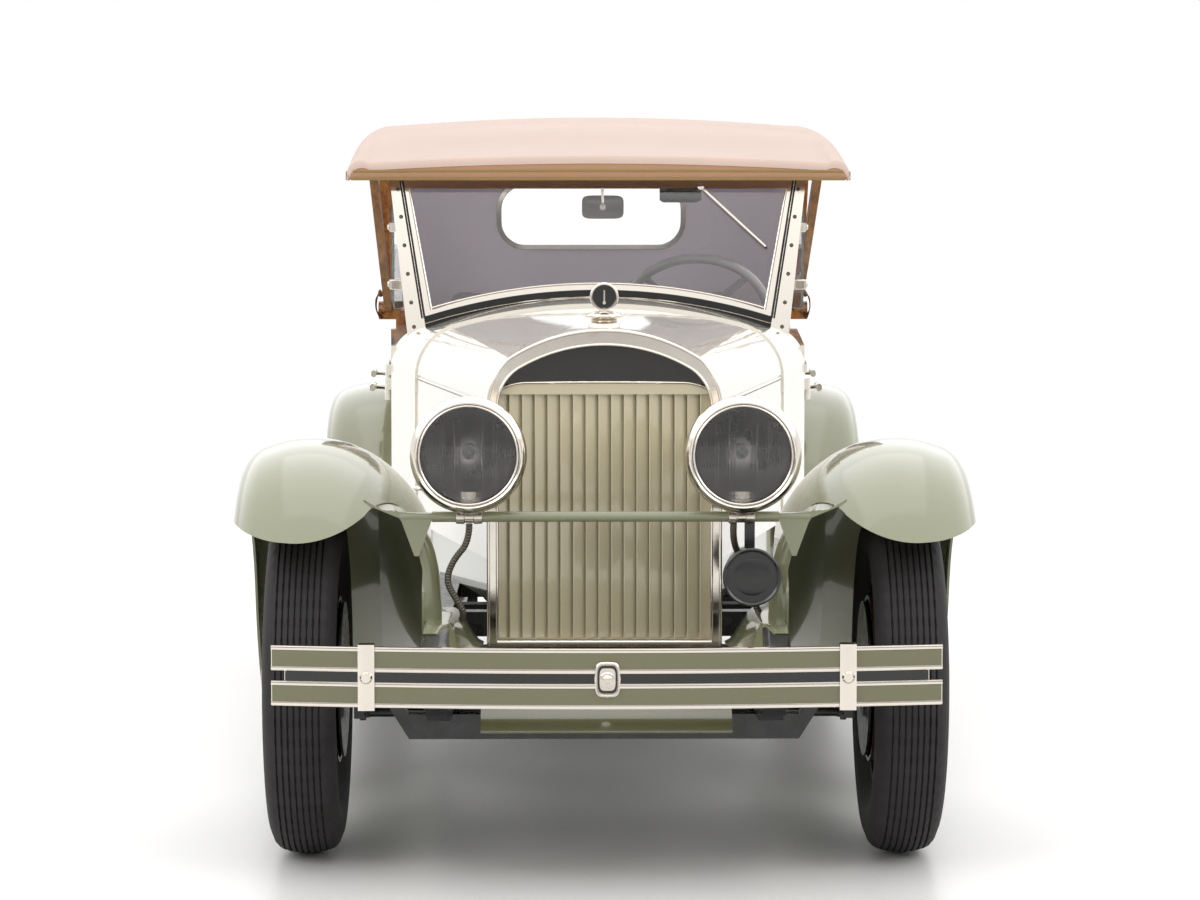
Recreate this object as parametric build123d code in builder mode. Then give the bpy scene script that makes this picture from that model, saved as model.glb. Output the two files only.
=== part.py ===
from build123d import *
import os
from math import atan2, cos, degrees, hypot, radians, sin, sqrt

# A large open touring car of the late 1920s: four doors, folding fabric top, eight-cylinder chassis.
# X points to the car's left, Y to its rear and Z up. The origin is on the ground, under the car's middle.
# "s" is a distance behind the front axle. All lengths are in millimetres.

# Overall layout
wheelbase = 3353
track = 1422
front_overhang = 640
rear_overhang = 905
front_axle_y = (front_overhang - wheelbase - rear_overhang) / 2
rear_axle_s = wheelbase
wheel_x = track / 2
body_half = wheel_x - 79
running_gap = 0.1
seat_gap = 0.3

# Tyres and wheels
tyre_radius = 419
tyre_width = 171
tyre_shoulder = 64
tyre_shoulder_drop = 14
rim_radius = 267
rim_half_width = 56
felloe_depth = 42
felloe_half_width = 30
spoke_count = 12
spoke_width = 28
spoke_half_depth = 17
hub_radius = 62
hub_half_length = 60
hub_cap_radius = 40
hub_cap_reach = 113
drum_radius = 200
drum_wall = 10
drum_inner_edge = 75
stub_radius = 20
stub_reach = 84
hub_z = tyre_radius

# Front axle and steering
kingpin_offset = 120
kingpin_x = track / 2 - kingpin_offset
kingpin_radius = 14
boss_radius = 30
boss_half_height = 35
yoke_thickness = 24
backing_plate_gap = 6
backing_plate_thickness = 6
beam_width = 44
beam_depth = 60
beam_drop = 121
beam_drop_x = kingpin_x - beam_drop
beam_z = 305
arm_length = 170
arm_pin_radius = 8
tie_rod_radius = 11
tie_rod_z = 312
tie_rod_eye_radius = 18

# Chassis frame and springs
rail_x = wheel_x - 318
rail_width = 58
rail_depth = 130
rail_top_z = 590
rail_front_s = -575
rail_tail = 657
rail_rear_s = rear_axle_s + rail_tail
rail_kick = 75
rail_front_cross_s = -470
tow_pin_radius = 10.5
rack_bolt_radius = 6.5
rack_bolt_spacing = 360
hoist_pad_s = 2120
hoist_pad_length = 120
hoist_pad_height = 8
spring_leaf = 14
spring_leaf_count = 4
spring_width = 57
spring_eye_radius = 19
spring_pin_radius = 9
front_spring_half_span = 480
rear_spring_half_span = 640
front_spring_rise = 60
rear_spring_rise = 40
rear_housing_radius = 46
front_spring_seat_z = beam_z + beam_depth / 2
rear_spring_seat_z = hub_z + rear_housing_radius
spring_stack = (spring_leaf_count - 1) * spring_leaf + spring_eye_radius / 2
front_eye_z = front_spring_seat_z + front_spring_rise + spring_stack
rear_eye_z = rear_spring_seat_z + rear_spring_rise + spring_stack
rear_spring_x = rail_x + rail_width / 2 + spring_width / 2 + 4
spare_s = rail_rear_s + 110
spare_z = 780

# Radiator
shell_half = 288
shell_bottom_z = 504
shell_front_s = -72
shell_depth = 120
shell_rim = 24
shell_brow = 36
crown_panel_bottom_z = 1134
shutter_count = 17
shutter_half = 258
shutter_bottom_z = 524
shutter_top_z = 1112
shutter_thickness = 5
shutter_angle = 24

# Body, measured off the front view: half widths, heights and stations of the hood, cowl and tub
panel = 12
hood_bottom_z = 700
hood_front_s = 55
hood_rear_s = 1037
cowl_front_s = 1046
cowl_rear_s = 1430
hinge_rod_radius = 6
fold_rod_radius = 5
fold_top_gap = 9
wall = 45
sill_z = 470
belt_z = 1160
door_gap = 6
trim_gap = 6
door_bottom_z = 545
front_door = (1500, 2170)
rear_door = (rear_axle_s - 1063, rear_axle_s - 393)
belt_bead = 7
belt_bead_z = (1085, 1108)
floor_z = 592
floor_thickness = 16

# Arch sections of the nose: columns are half width, top of the straight side, corner x, corner z, crown z
radiator_arch = (280, 1078, 232, 1194, 1264)
hood_front_arch = (278, 1076, 230, 1191, 1260)
hood_rear_arch = (489, 1090, 395, 1226, 1282)
cowl_rear_arch = (body_half - 54, 1110, body_half - 154, 1212, 1297)

# Fenders and running boards
fender_overhang = 160
fender_outer = wheel_x + fender_overhang
fender_sheet = 6
board_top_z = 357
board_thickness = 26
front_fender_centre = (20, 500)
front_fender_radius = 500
front_fender_start = 33
front_lip_z = 786
front_fender_sweep_radius = 420
apron_x = rail_x + 30
rear_fender_centre = (rear_axle_s, 470)
rear_fender_radius = 487
rear_fender_end = -6
rear_fender_sweep_radius = 180
rear_fender_inner = wheel_x - 107
board_front_s = 960
board_rear_s = rear_axle_s - 693

# Lamps, horn and bumpers
lamp_bar_s = -250
lamp_bar_z = 834
lamp_bar_radius = 10
lamp_x = 318
lamp_z = 983
lamp_radius = 135
lamp_depth = 190
lamp_front_s = -330
lens_radius = 118
horn_x = 337
horn_z = 703
bumper_half = 757
bumper_bow = 70
bumper_bar_height = 56
bumper_bar_thickness = 12
bumper_gap = 24
bumper_z = 504
clamp_x = 541

# Windshield and top
windshield_base_s = 1395
windshield_lean = 8
glass_thickness = 6
top_sheet = 8
top_front_s = 1330
bow_pivot_s = rear_axle_s - 343
bow_pivot_z = 1205
bow_x = body_half + 40
bow_width = 34
bow_thickness = 24


def at(s):
    return front_axle_y + s


def station(s):
    return Plane(origin=(0, at(s), 0), x_dir=(1, 0, 0), z_dir=(0, -1, 0))


def side(x):
    return Plane.YZ.offset(x)


def save(builder, name):
    builder.part.label = name
    export_step(builder.part, f"parts/{name}.step")


def mirrored(builder):
    with BuildPart() as other:
        add(mirror(builder.part, about=Plane.YZ, mode=Mode.PRIVATE))
    return other


os.makedirs("parts", exist_ok=True)


# Tyres and wheels, each drawn on a plane whose x points out of the car along the axle
def wheel_plane(centre, outward):
    return Plane(origin=centre, x_dir=outward, z_dir=Vector(outward).cross(Vector(0, 0, 1)))


def make_tyre(centre, outward):
    plane = wheel_plane(centre, outward)
    shoulder_r = tyre_radius - tyre_shoulder_drop
    bulge_r = (rim_radius + shoulder_r) / 2
    with BuildPart() as tyre:
        with BuildSketch(plane):
            with BuildLine():
                Line((-rim_half_width, rim_radius), (rim_half_width, rim_radius))
                ThreePointArc(
                    (rim_half_width, rim_radius), (tyre_width / 2, bulge_r), (tyre_shoulder, shoulder_r)
                )
                ThreePointArc((tyre_shoulder, shoulder_r), (0, tyre_radius), (-tyre_shoulder, shoulder_r))
                ThreePointArc(
                    (-tyre_shoulder, shoulder_r), (-tyre_width / 2, bulge_r), (-rim_half_width, rim_radius)
                )
            make_face()
        revolve(axis=Axis(centre, outward))
    return tyre


def make_wheel(centre, outward, with_drum=True):
    plane = wheel_plane(centre, outward)
    rim_outer = rim_radius - seat_gap
    rim_inner = rim_outer - 20
    felloe_inner = rim_inner - felloe_depth + 20
    web = 10
    bore = stub_radius + running_gap
    with BuildPart() as wheel:
        with BuildSketch(plane):
            with BuildLine():
                Polyline(
                    (-rim_half_width, rim_outer),
                    (rim_half_width, rim_outer),
                    (rim_half_width, rim_inner),
                    (felloe_half_width, rim_inner),
                    (felloe_half_width, felloe_inner),
                    (-felloe_half_width, felloe_inner),
                    (-felloe_half_width, rim_inner),
                    (-rim_half_width, rim_inner),
                    close=True,
                )
            make_face()
        revolve(axis=Axis(centre, outward))
        with BuildSketch(plane):
            with BuildLine():
                Polyline(
                    (-hub_half_length, bore),
                    (-hub_half_length, hub_radius),
                    (hub_half_length, hub_radius),
                    (hub_half_length, hub_cap_radius),
                    (hub_cap_reach - 12, hub_cap_radius),
                )
                TangentArc(
                    (hub_cap_reach - 12, hub_cap_radius), (hub_cap_reach, hub_cap_radius - 12), tangent=(1, 0)
                )
                Polyline(
                    (hub_cap_reach, hub_cap_radius - 12),
                    (hub_cap_reach, 0),
                    (stub_reach + 2, 0),
                    (stub_reach + 2, bore),
                    (-hub_half_length, bore),
                )
            make_face()
        revolve(axis=Axis(centre, outward))
        if with_drum:
            with BuildSketch(plane):
                with BuildLine():
                    Polyline(
                        (-spoke_half_depth - 2 * web, hub_radius - 8),
                        (-spoke_half_depth - 2 * web, drum_radius - drum_wall),
                        (-drum_inner_edge, drum_radius - drum_wall),
                        (-drum_inner_edge, drum_radius),
                        (-spoke_half_depth - web, drum_radius),
                        (-spoke_half_depth - web, hub_radius - 8),
                        close=True,
                    )
                make_face()
            revolve(axis=Axis(centre, outward))
        spoke_mid = (hub_radius + felloe_inner) / 2
        spoke_length = felloe_inner - hub_radius + 16
        spoke_plane = Plane(origin=centre, x_dir=(0, 0, 1), z_dir=outward)
        with BuildSketch(spoke_plane.offset(-spoke_half_depth)):
            with PolarLocations(spoke_mid, spoke_count):
                Rectangle(spoke_length, spoke_width)
        extrude(amount=2 * spoke_half_depth)
    return wheel


wheel_table = (  # name, side, station
    ("front_left", 1, 0),
    ("front_right", -1, 0),
    ("rear_left", 1, rear_axle_s),
    ("rear_right", -1, rear_axle_s),
)
for corner, hand, s in wheel_table:
    wheel_centre = (hand * track / 2, at(s), hub_z)
    save(make_tyre(wheel_centre, (hand, 0, 0)), f"tyre_{corner}")
    save(make_wheel(wheel_centre, (hand, 0, 0)), f"wheel_{corner}")

# Front axle: a dropped beam with a boss at each end for the kingpin
with BuildPart() as front_axle_beam:
    half = beam_depth / 2
    neck = kingpin_x - boss_radius - 16
    with BuildSketch(station(0)):
        with BuildLine():
            Polyline(
                (kingpin_x, hub_z + half - 6),
                (neck, hub_z + half - 6),
                (beam_drop_x, beam_z + half),
                (-beam_drop_x, beam_z + half),
                (-neck, hub_z + half - 6),
                (-kingpin_x, hub_z + half - 6),
                (-kingpin_x, hub_z - half + 6),
                (-neck, hub_z - half + 6),
                (-beam_drop_x, beam_z - half),
                (beam_drop_x, beam_z - half),
                (neck, hub_z - half + 6),
                (kingpin_x, hub_z - half + 6),
                close=True,
            )
        make_face()
    extrude(amount=beam_width / 2, both=True)
    with Locations((kingpin_x, at(0), hub_z), (-kingpin_x, at(0), hub_z)):
        Cylinder(boss_radius, 2 * boss_half_height)
        Hole(kingpin_radius + running_gap, depth=4 * boss_half_height)
save(front_axle_beam, "front_axle_beam")

# Left knuckle: kingpin, forked yoke, brake backing plate, stub axle and steering arm
plate_x = track / 2 - drum_inner_edge - backing_plate_gap
yoke_low = boss_half_height + 1
with BuildPart() as knuckle_left:
    with Locations((kingpin_x, at(0), hub_z)):
        Cylinder(kingpin_radius, 2 * (yoke_low + yoke_thickness))
    for end in (1, -1):
        yoke_z = hub_z + end * (yoke_low + yoke_thickness / 2)
        with Locations((kingpin_x, at(0), yoke_z)):
            Cylinder(boss_radius, yoke_thickness)
        with Locations(((kingpin_x + plate_x) / 2, at(0), yoke_z)):
            Box(plate_x - kingpin_x, 2 * boss_radius, yoke_thickness)
    with BuildSketch(side(plate_x)):
        with Locations((at(0), hub_z)):
            Circle(drum_radius - drum_wall - 4)
    extrude(amount=-backing_plate_thickness)
    with BuildSketch(side(plate_x)):
        with Locations((at(0), hub_z)):
            Circle(stub_radius)
    extrude(amount=track / 2 + stub_reach - plate_x)
    arm_top = hub_z - yoke_low - 10
    arm_bottom = tie_rod_z + tie_rod_radius + seat_gap
    with Locations((kingpin_x, at(arm_length / 2), (arm_top + arm_bottom) / 2)):
        Box(24, arm_length + 24, arm_top - arm_bottom)
    with BuildSketch(Plane.XY.offset(arm_bottom)):
        with Locations((kingpin_x, at(arm_length))):
            Circle(arm_pin_radius)
    extrude(amount=-(2 * tie_rod_radius + 8))
save(knuckle_left, "knuckle_left")
save(mirrored(knuckle_left), "knuckle_right")

# Tie rod behind the axle, with an eye on each steering arm's pin
with BuildPart() as tie_rod:
    with BuildSketch(side(-kingpin_x)):
        with Locations((at(arm_length), tie_rod_z)):
            Circle(tie_rod_radius)
    extrude(amount=2 * kingpin_x)
    with Locations((kingpin_x, at(arm_length), tie_rod_z), (-kingpin_x, at(arm_length), tie_rod_z)):
        Cylinder(tie_rod_eye_radius, 2 * tie_rod_radius)
        Hole(arm_pin_radius + running_gap, depth=6 * tie_rod_radius)
save(tie_rod, "tie_rod")

# Chassis frame: two deep rails that rise over the rear axle, joined by cross members
rail_bottom = rail_top_z - rail_depth
with BuildPart() as chassis_frame:
    with BuildSketch(side(rail_x - rail_width / 2)):
        with BuildLine():
            Polyline(
                (at(rail_front_s), rail_top_z - 70),
                (at(-330), rail_top_z - 8),
                (at(-120), rail_top_z),
                (at(rear_axle_s - 433), rail_top_z),
                (at(rear_axle_s - 193), rail_top_z + rail_kick),
                (at(rear_axle_s + 347), rail_top_z + rail_kick),
                (at(rail_rear_s), rail_top_z + 20),
                (at(rail_rear_s), rail_top_z - 50),
                (at(rear_axle_s + 297), rail_top_z + rail_kick - 80),
                (at(rear_axle_s - 183), rail_top_z + rail_kick - 80),
                (at(rear_axle_s - 413), rail_bottom),
                (at(900), rail_bottom),
                (at(-60), rail_bottom + 40),
                (at(-330), rail_top_z - 70),
                (at(rail_front_s), rail_top_z - 120),
                close=True,
            )
        make_face()
    extrude(amount=rail_width)
    mirror(about=Plane.YZ)
    cross_table = (  # station, height, length along the car, depth
        (rail_front_cross_s, rail_top_z - 68, 44, 40),
        (shell_front_s + shell_depth + seat_gap + 26, rail_top_z - 45, 52, 60),
        (1570, rail_bottom + 55, 90, 80),
        (rear_axle_s - 953, rail_bottom + 55, 90, 80),
        (rear_axle_s - 153, rail_top_z + rail_kick - 40, 60, 50),
        (rail_rear_s - 40, rail_top_z - 15, 60, 60),
    )
    for s, z, length, depth in cross_table:
        with Locations((0, at(s), z)):
            Box(2 * rail_x - rail_width + 4, length, depth)
    with Locations((0, at(rail_front_cross_s), rail_top_z)):
        Cylinder(tow_pin_radius, 400, mode=Mode.SUBTRACT)
    with Locations(
        (rack_bolt_spacing / 2, at(rail_rear_s - 40), rail_top_z),
        (-rack_bolt_spacing / 2, at(rail_rear_s - 40), rail_top_z),
    ):
        Cylinder(rack_bolt_radius, 400, mode=Mode.SUBTRACT)
    for hand in (1, -1):
        for s in (-front_spring_half_span, front_spring_half_span):
            with Locations((hand * rail_x, at(s), front_eye_z + 30)):
                Box(rail_width, 34, 60)
            with Locations(Location((hand * rail_x, at(s), front_eye_z), (0, 90, 0))):
                Cylinder(spring_eye_radius + seat_gap, rail_width + 2, mode=Mode.SUBTRACT)
        for s in (rear_axle_s - rear_spring_half_span, rear_axle_s + rear_spring_half_span):
            with Locations(Location((hand * (rear_spring_x - 10), at(s), rear_eye_z), (0, 90, 0))):
                Cylinder(spring_pin_radius, spring_width + 20)
    with Locations((0, at(rail_rear_s - 4), spare_z - 70)):
        Box(120, 16, 330)
    for hand in (1, -1):
        with Locations((hand * rail_x, at(hoist_pad_s), rail_bottom - hoist_pad_height / 2)):
            Box(rail_width, hoist_pad_length, hoist_pad_height)
    with BuildSketch(station(rail_rear_s - 10)):
        with Locations((0, spare_z)):
            Circle(stub_radius)
    extrude(amount=-(spare_s + stub_reach - rail_rear_s + 10))
save(chassis_frame, "chassis_frame")


# Leaf springs: stacked curved leaves, shortest at the axle, with rolled eyes on the longest
def spring_pack(centre_x, centre_s, seat_z, half_span, rise):
    radius = (half_span**2 + rise**2) / (2 * rise)
    start = side(centre_x - spring_width / 2)
    for leaf in range(spring_leaf_count):
        reach = half_span * (1 - 0.2 * (spring_leaf_count - 1 - leaf))
        centre_z = seat_z + leaf * spring_leaf + radius
        turn = degrees(reach / radius)
        with BuildSketch(start) as leaf_face:
            with BuildLine():
                inner = CenterArc((at(centre_s), centre_z), radius - spring_leaf, 270 - turn, 2 * turn)
                outer = CenterArc((at(centre_s), centre_z), radius, 270 - turn, 2 * turn)
                Line(inner @ 0, outer @ 0)
                Line(inner @ 1, outer @ 1)
            make_face()
        extrude(leaf_face.sketch, amount=spring_width)
    eye_z = seat_z + rise + spring_stack
    eye_places = [(at(centre_s - half_span), eye_z), (at(centre_s + half_span), eye_z)]
    with BuildSketch(start) as eyes:
        with Locations(*eye_places):
            Circle(spring_eye_radius)
    extrude(eyes.sketch, amount=spring_width)
    with BuildSketch(start) as eye_holes:
        with Locations(*eye_places):
            Circle(spring_pin_radius + seat_gap)
    extrude(eye_holes.sketch, amount=spring_width, mode=Mode.SUBTRACT)


with BuildPart() as leaf_springs:
    spring_pack(rail_x, 0, front_spring_seat_z, front_spring_half_span, front_spring_rise)
    spring_pack(rear_spring_x, rear_axle_s, rear_spring_seat_z, rear_spring_half_span, rear_spring_rise)
    mirror(about=Plane.YZ)
save(leaf_springs, "leaf_springs")

# Rear axle: housing with its differential, brake backing plates and the stubs that the wheels turn on
rear_plate_x = track / 2 - drum_inner_edge - backing_plate_gap
with BuildPart() as rear_axle_housing:
    with BuildSketch(side(-rear_plate_x)):
        with Locations((at(rear_axle_s), hub_z)):
            Circle(rear_housing_radius)
    extrude(amount=2 * rear_plate_x)
    with Locations((0, at(rear_axle_s), hub_z)):
        Sphere(150)
    for hand in (1, -1):
        with BuildSketch(side(hand * rear_plate_x)):
            with Locations((at(rear_axle_s), hub_z)):
                Circle(drum_radius - drum_wall - 4)
        extrude(amount=-hand * backing_plate_thickness)
        with BuildSketch(side(hand * rear_plate_x)):
            with Locations((at(rear_axle_s), hub_z)):
                Circle(stub_radius)
        extrude(amount=hand * (track / 2 + stub_reach - rear_plate_x))
    with BuildSketch(station(rear_axle_s - 60)):
        with Locations((0, hub_z)):
            Circle(48)
    extrude(amount=1500)
save(rear_axle_housing, "rear_axle_housing")

# Engine and gearbox as one plain mass, with the exhaust pipe and silencer
engine_front_s = 110
engine_rear_s = 880
gearbox_rear_s = 1500
with BuildPart() as engine_block:
    with BuildSketch(station(engine_front_s)):
        with BuildLine():
            Polyline(
                (-90, 390), (90, 390), (150, 520), (230, 640), (240, 900), (130, 980),
                (-130, 980), (-240, 900), (-230, 640), (-150, 520), close=True,
            )
        make_face()
    extrude(amount=-(engine_rear_s - engine_front_s))
    with BuildSketch(station(engine_rear_s)):
        with Locations((0, 480)):
            RectangleRounded(240, 190, 40)
    extrude(amount=-(gearbox_rear_s - engine_rear_s))
    for s in (190, 700):
        with Locations((0, at(s), rail_top_z - 30)):
            Box(2 * rail_x - rail_width - 2 * seat_gap, 60, 40)
    exhaust_x, exhaust_z = -250, 400
    with BuildLine(side(exhaust_x)) as pipe_path:
        FilletPolyline(
            (at(engine_rear_s - 60), 700), (at(engine_rear_s + 60), 700),
            (at(1150), exhaust_z), (at(rear_axle_s - 633), exhaust_z), radius=90,
        )
    pipe_wire = pipe_path.wires()[0]
    with BuildSketch(Plane(origin=pipe_wire @ 0, z_dir=pipe_wire % 0)):
        Circle(26)
    sweep(path=pipe_wire)
    with BuildSketch(station(rear_axle_s - 1253)):
        with Locations((exhaust_x, exhaust_z)):
            Ellipse(95, 62)
    extrude(amount=-560)
save(engine_block, "engine_block")

# Fuel tank across the frame's tail
with BuildPart() as fuel_tank:
    tank_half = rail_x - rail_width / 2
    with BuildSketch(side(-tank_half)):
        with Locations((at(rail_rear_s - 230), 520)):
            RectangleRounded(300, 230, 90)
    extrude(amount=2 * tank_half)
save(fuel_tank, "fuel_tank")


# Arch outlines of the nose
def arch_lines(arch, bottom):
    half, side_top, corner_x, corner_z, crown = arch
    Line((-half, bottom), (half, bottom))
    Line((half, bottom), (half, side_top))
    TangentArc((half, side_top), (corner_x, corner_z), tangent=(0, 1))
    ThreePointArc((corner_x, corner_z), (0, crown), (-corner_x, corner_z))
    TangentArc((-half, side_top), (-corner_x, corner_z), tangent=(0, 1))
    Line((-half, side_top), (-half, bottom))


def arch_face(plane, arch, bottom):
    with BuildSketch(plane) as face:
        with BuildLine():
            arch_lines(arch, bottom)
        make_face()
    return face.sketch


def inset(arch, amount):
    half, side_top, corner_x, corner_z, crown = arch
    return (half - amount, side_top, corner_x - amount, corner_z - amount * 0.5, crown - amount)


# Radiator: plated shell, a crown panel in its top and a row of upright shutters
shell_rear_s = shell_front_s + shell_depth


def core_edge(gap):
    half, side_top, corner_x, corner_z, crown = inset(radiator_arch, shell_rim + gap)
    brow = shell_brow - shell_rim
    return (half, side_top, corner_x, corner_z - brow, crown - brow)


with BuildPart() as radiator_shell:
    extrude(arch_face(station(shell_rear_s), radiator_arch, shell_bottom_z), amount=shell_depth)
    core_opening = arch_face(station(shell_rear_s), core_edge(0), shutter_bottom_z - 6)
    extrude(core_opening, amount=shell_depth, mode=Mode.SUBTRACT)
save(radiator_shell, "radiator_shell")

panel_s = shell_front_s + 16
core_arch = core_edge(seat_gap)
with BuildPart() as radiator_crown_panel:
    extrude(arch_face(station(panel_s + 10), core_arch, shell_bottom_z), amount=10)
    with Locations((0, at(panel_s), (crown_panel_bottom_z + shell_bottom_z) / 2 - 10)):
        Box(2 * shell_half, 40, crown_panel_bottom_z - shell_bottom_z + 20, mode=Mode.SUBTRACT)
save(radiator_crown_panel, "radiator_crown_panel")

with BuildPart() as radiator_shutters:
    pitch = 2 * shutter_half / shutter_count
    blade = pitch * 1.06
    for index in range(shutter_count):
        blade_x = -shutter_half + pitch * (index + 0.5)
        blade_plane = Plane(origin=(blade_x, at(panel_s + 14), 0), z_dir=(0, 0, 1))
        blade_plane = blade_plane.rotated((0, 0, shutter_angle))
        with BuildSketch(blade_plane.offset(shutter_bottom_z)):
            RectangleRounded(blade, shutter_thickness, 2)
        extrude(amount=shutter_top_z - shutter_bottom_z)
    for z in (shutter_bottom_z - 6 + seat_gap, shutter_top_z - 8):
        with Locations((0, at(panel_s + 26), z + 7)):
            Box(2 * (shell_half - shell_rim - 9), 16, 14)
    with Locations((0, at(panel_s + 42), (shutter_bottom_z + shutter_top_z) / 2)):
        Box(2 * (shell_half - shell_rim - 9), 16, shutter_top_z - shutter_bottom_z)
    core_space = arch_face(station(shell_rear_s), core_arch, shutter_bottom_z - 6 + seat_gap)
    extrude(core_space, amount=shell_depth, mode=Mode.INTERSECT)
save(radiator_shutters, "radiator_shutters")

# Filler cap with its round temperature gauge
gauge_radius = 33
gauge_depth = 26
gauge_lift = 76
with BuildPart() as radiator_cap:
    cap_s = shell_front_s + shell_depth / 2
    cap_base = radiator_arch[4]
    with BuildSketch(station(cap_s)):
        with BuildLine():
            Polyline(
                (0, cap_base + seat_gap), (34, cap_base + seat_gap), (34, cap_base + 12), (28, cap_base + 14),
                (28, cap_base + 24), (40, cap_base + 28), (40, cap_base + 34), (14, cap_base + 42),
                (0, cap_base + 42), close=True,
            )
        make_face()
    revolve(axis=Axis((0, at(cap_s), 0), (0, 0, 1)))
    with Locations((0, at(cap_s), cap_base + 46)):
        Box(18, 16, 20)
    with BuildSketch(station(cap_s - gauge_depth / 2)):
        with Locations((0, cap_base + gauge_lift)):
            Circle(gauge_radius)
    extrude(amount=-gauge_depth)
save(radiator_cap, "radiator_cap")


# Hood: two halves hinged on a rod along the top, and the cowl that carries the rod
def nose_shell(front_s, rear_s, front_arch, rear_arch, bottom):
    outer = [arch_face(station(front_s), front_arch, bottom), arch_face(station(rear_s), rear_arch, bottom)]
    loft(outer, ruled=True)
    inner = [
        arch_face(station(front_s - 1), inset(front_arch, panel), bottom - 40),
        arch_face(station(rear_s + 1), inset(rear_arch, panel), bottom - 40),
    ]
    loft(inner, ruled=True, mode=Mode.SUBTRACT)


column_x = 290
column_foot = Vector(column_x, at(880), 496)
column_head = Vector(column_x, at(1900), 1190)
column_line = column_head - column_foot


def column_face(radius):
    with BuildSketch(Plane(origin=column_foot, z_dir=column_line)) as face:
        Circle(radius)
    return face.sketch


rod_front = Vector(0, at(shell_rear_s + seat_gap), hood_front_arch[4])
rod_rear = Vector(0, at(cowl_front_s + 8), hood_rear_arch[4])
rod_plane = Plane(origin=rod_front, z_dir=rod_rear - rod_front)
rod_length = (rod_rear - rod_front).length


# Each half is a curved top on the rod and a flat side that folds on a second rod at the shoulder
def strip_face(s, arch, inner, outer, low, high):
    half = arch[0]
    with BuildSketch(station(s)) as face:
        near, far = half - inner, half - outer
        Polygon((near, low), (far, low), (far, high), (near, high), align=None)
    return face.sketch


def hood_strip(inner, outer, low, high):
    ends = []
    for s, arch in ((hood_front_s, hood_front_arch), (hood_rear_s, hood_rear_arch)):
        bottom = hood_bottom_z if low is None else arch[1] + low
        ends.append(strip_face(s, arch, inner, outer, bottom, arch[1] + high))
    return ends


fold_front = Vector(hood_front_arch[0] - panel / 2, at(hood_front_s), hood_front_arch[1])
fold_rear = Vector(hood_rear_arch[0] - panel / 2, at(hood_rear_s), hood_rear_arch[1])
fold_plane = Plane(origin=fold_front, z_dir=fold_rear - fold_front)
fold_length = (fold_rear - fold_front).length
with BuildPart() as hood_top_left:
    nose_shell(hood_front_s, hood_rear_s, hood_front_arch, hood_rear_arch, hood_bottom_z)
    split(bisect_by=Plane.YZ.offset(1), keep=Keep.TOP)
    with BuildSketch(rod_plane.offset(-20)):
        Circle(hinge_rod_radius + seat_gap)
    extrude(amount=rod_length + 40, mode=Mode.SUBTRACT)
    loft(hood_strip(60, -20, None, fold_top_gap), ruled=True, mode=Mode.SUBTRACT)
    loft(hood_strip(panel / 2 + 2, panel / 2 - 2, 0, fold_top_gap + 4), ruled=True)
    with BuildSketch(fold_plane):
        Circle(fold_rod_radius)
    extrude(amount=fold_length)
save(hood_top_left, "hood_top_left")
save(mirrored(hood_top_left), "hood_top_right")

with BuildPart() as hood_side_left:
    loft(hood_strip(panel, 0, None, -fold_rod_radius - seat_gap), ruled=True)
save(hood_side_left, "hood_side_left")
save(mirrored(hood_side_left), "hood_side_right")

with BuildPart() as cowl:
    nose_shell(cowl_front_s, cowl_rear_s, hood_rear_arch, cowl_rear_arch, sill_z + 60)
    firewall = arch_face(station(cowl_front_s + 30), inset(hood_rear_arch, panel - 2), floor_z)
    extrude(firewall, amount=-14)
    extrude(column_face(24 + seat_gap), amount=column_line.length, mode=Mode.SUBTRACT)
    with BuildSketch(rod_plane):
        Circle(hinge_rod_radius)
    extrude(amount=rod_length)
save(cowl, "cowl")

# Body tub: a plan outline walled up to the belt, with door openings and a wheelhouse over each rear wheel
tub_front = cowl_rear_arch[0]
waist_s = rear_axle_s - 793
tail_s = rear_axle_s + 422
tail_half = body_half - 252


def tub_lines():
    for hand in (1, -1):
        Line((hand * tub_front, at(cowl_rear_s)), (hand * body_half, at(waist_s)))
        widest = (hand * (body_half + 8), at(rear_axle_s - 453))
        flank_end = (hand * (body_half - 4), at(rear_axle_s - 23))
        ThreePointArc((hand * body_half, at(waist_s)), widest, flank_end)
        quarter = (hand * (body_half - 64), at(rear_axle_s + 287))
        ThreePointArc(flank_end, quarter, (hand * tail_half, at(tail_s)))
    ThreePointArc((tail_half, at(tail_s)), (0, at(tail_s + 25)), (-tail_half, at(tail_s)))
    Line((-tub_front, at(cowl_rear_s)), (tub_front, at(cowl_rear_s)))


with BuildPart() as body_wall:
    with BuildSketch(Plane.XY.offset(sill_z)):
        with BuildLine():
            tub_lines()
        make_face()
    extrude(amount=belt_z - sill_z)
    with BuildSketch(Plane.XY.offset(belt_bead_z[0])):
        with BuildLine():
            tub_lines()
        make_face()
        offset(amount=belt_bead, mode=Mode.ADD)
    extrude(amount=belt_bead_z[1] - belt_bead_z[0])
    with BuildSketch(Plane.XY.offset(sill_z - 1)):
        with BuildLine():
            tub_lines()
        make_face()
        offset(amount=-wall, mode=Mode.REPLACE)
    extrude(amount=belt_z - sill_z + 2, mode=Mode.SUBTRACT)
    with Locations((0, at(cowl_rear_s) + wall / 2 - 20, (sill_z + belt_z) / 2)):
        Box(2 * (tub_front - wall), wall + 44, belt_z - sill_z + 2, mode=Mode.SUBTRACT)
    with Locations((0, at(cowl_rear_s) - 10, (sill_z + belt_z) / 2)):
        Box(2 * tub_front + 100, 20, belt_z - sill_z + 2, mode=Mode.SUBTRACT)


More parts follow.
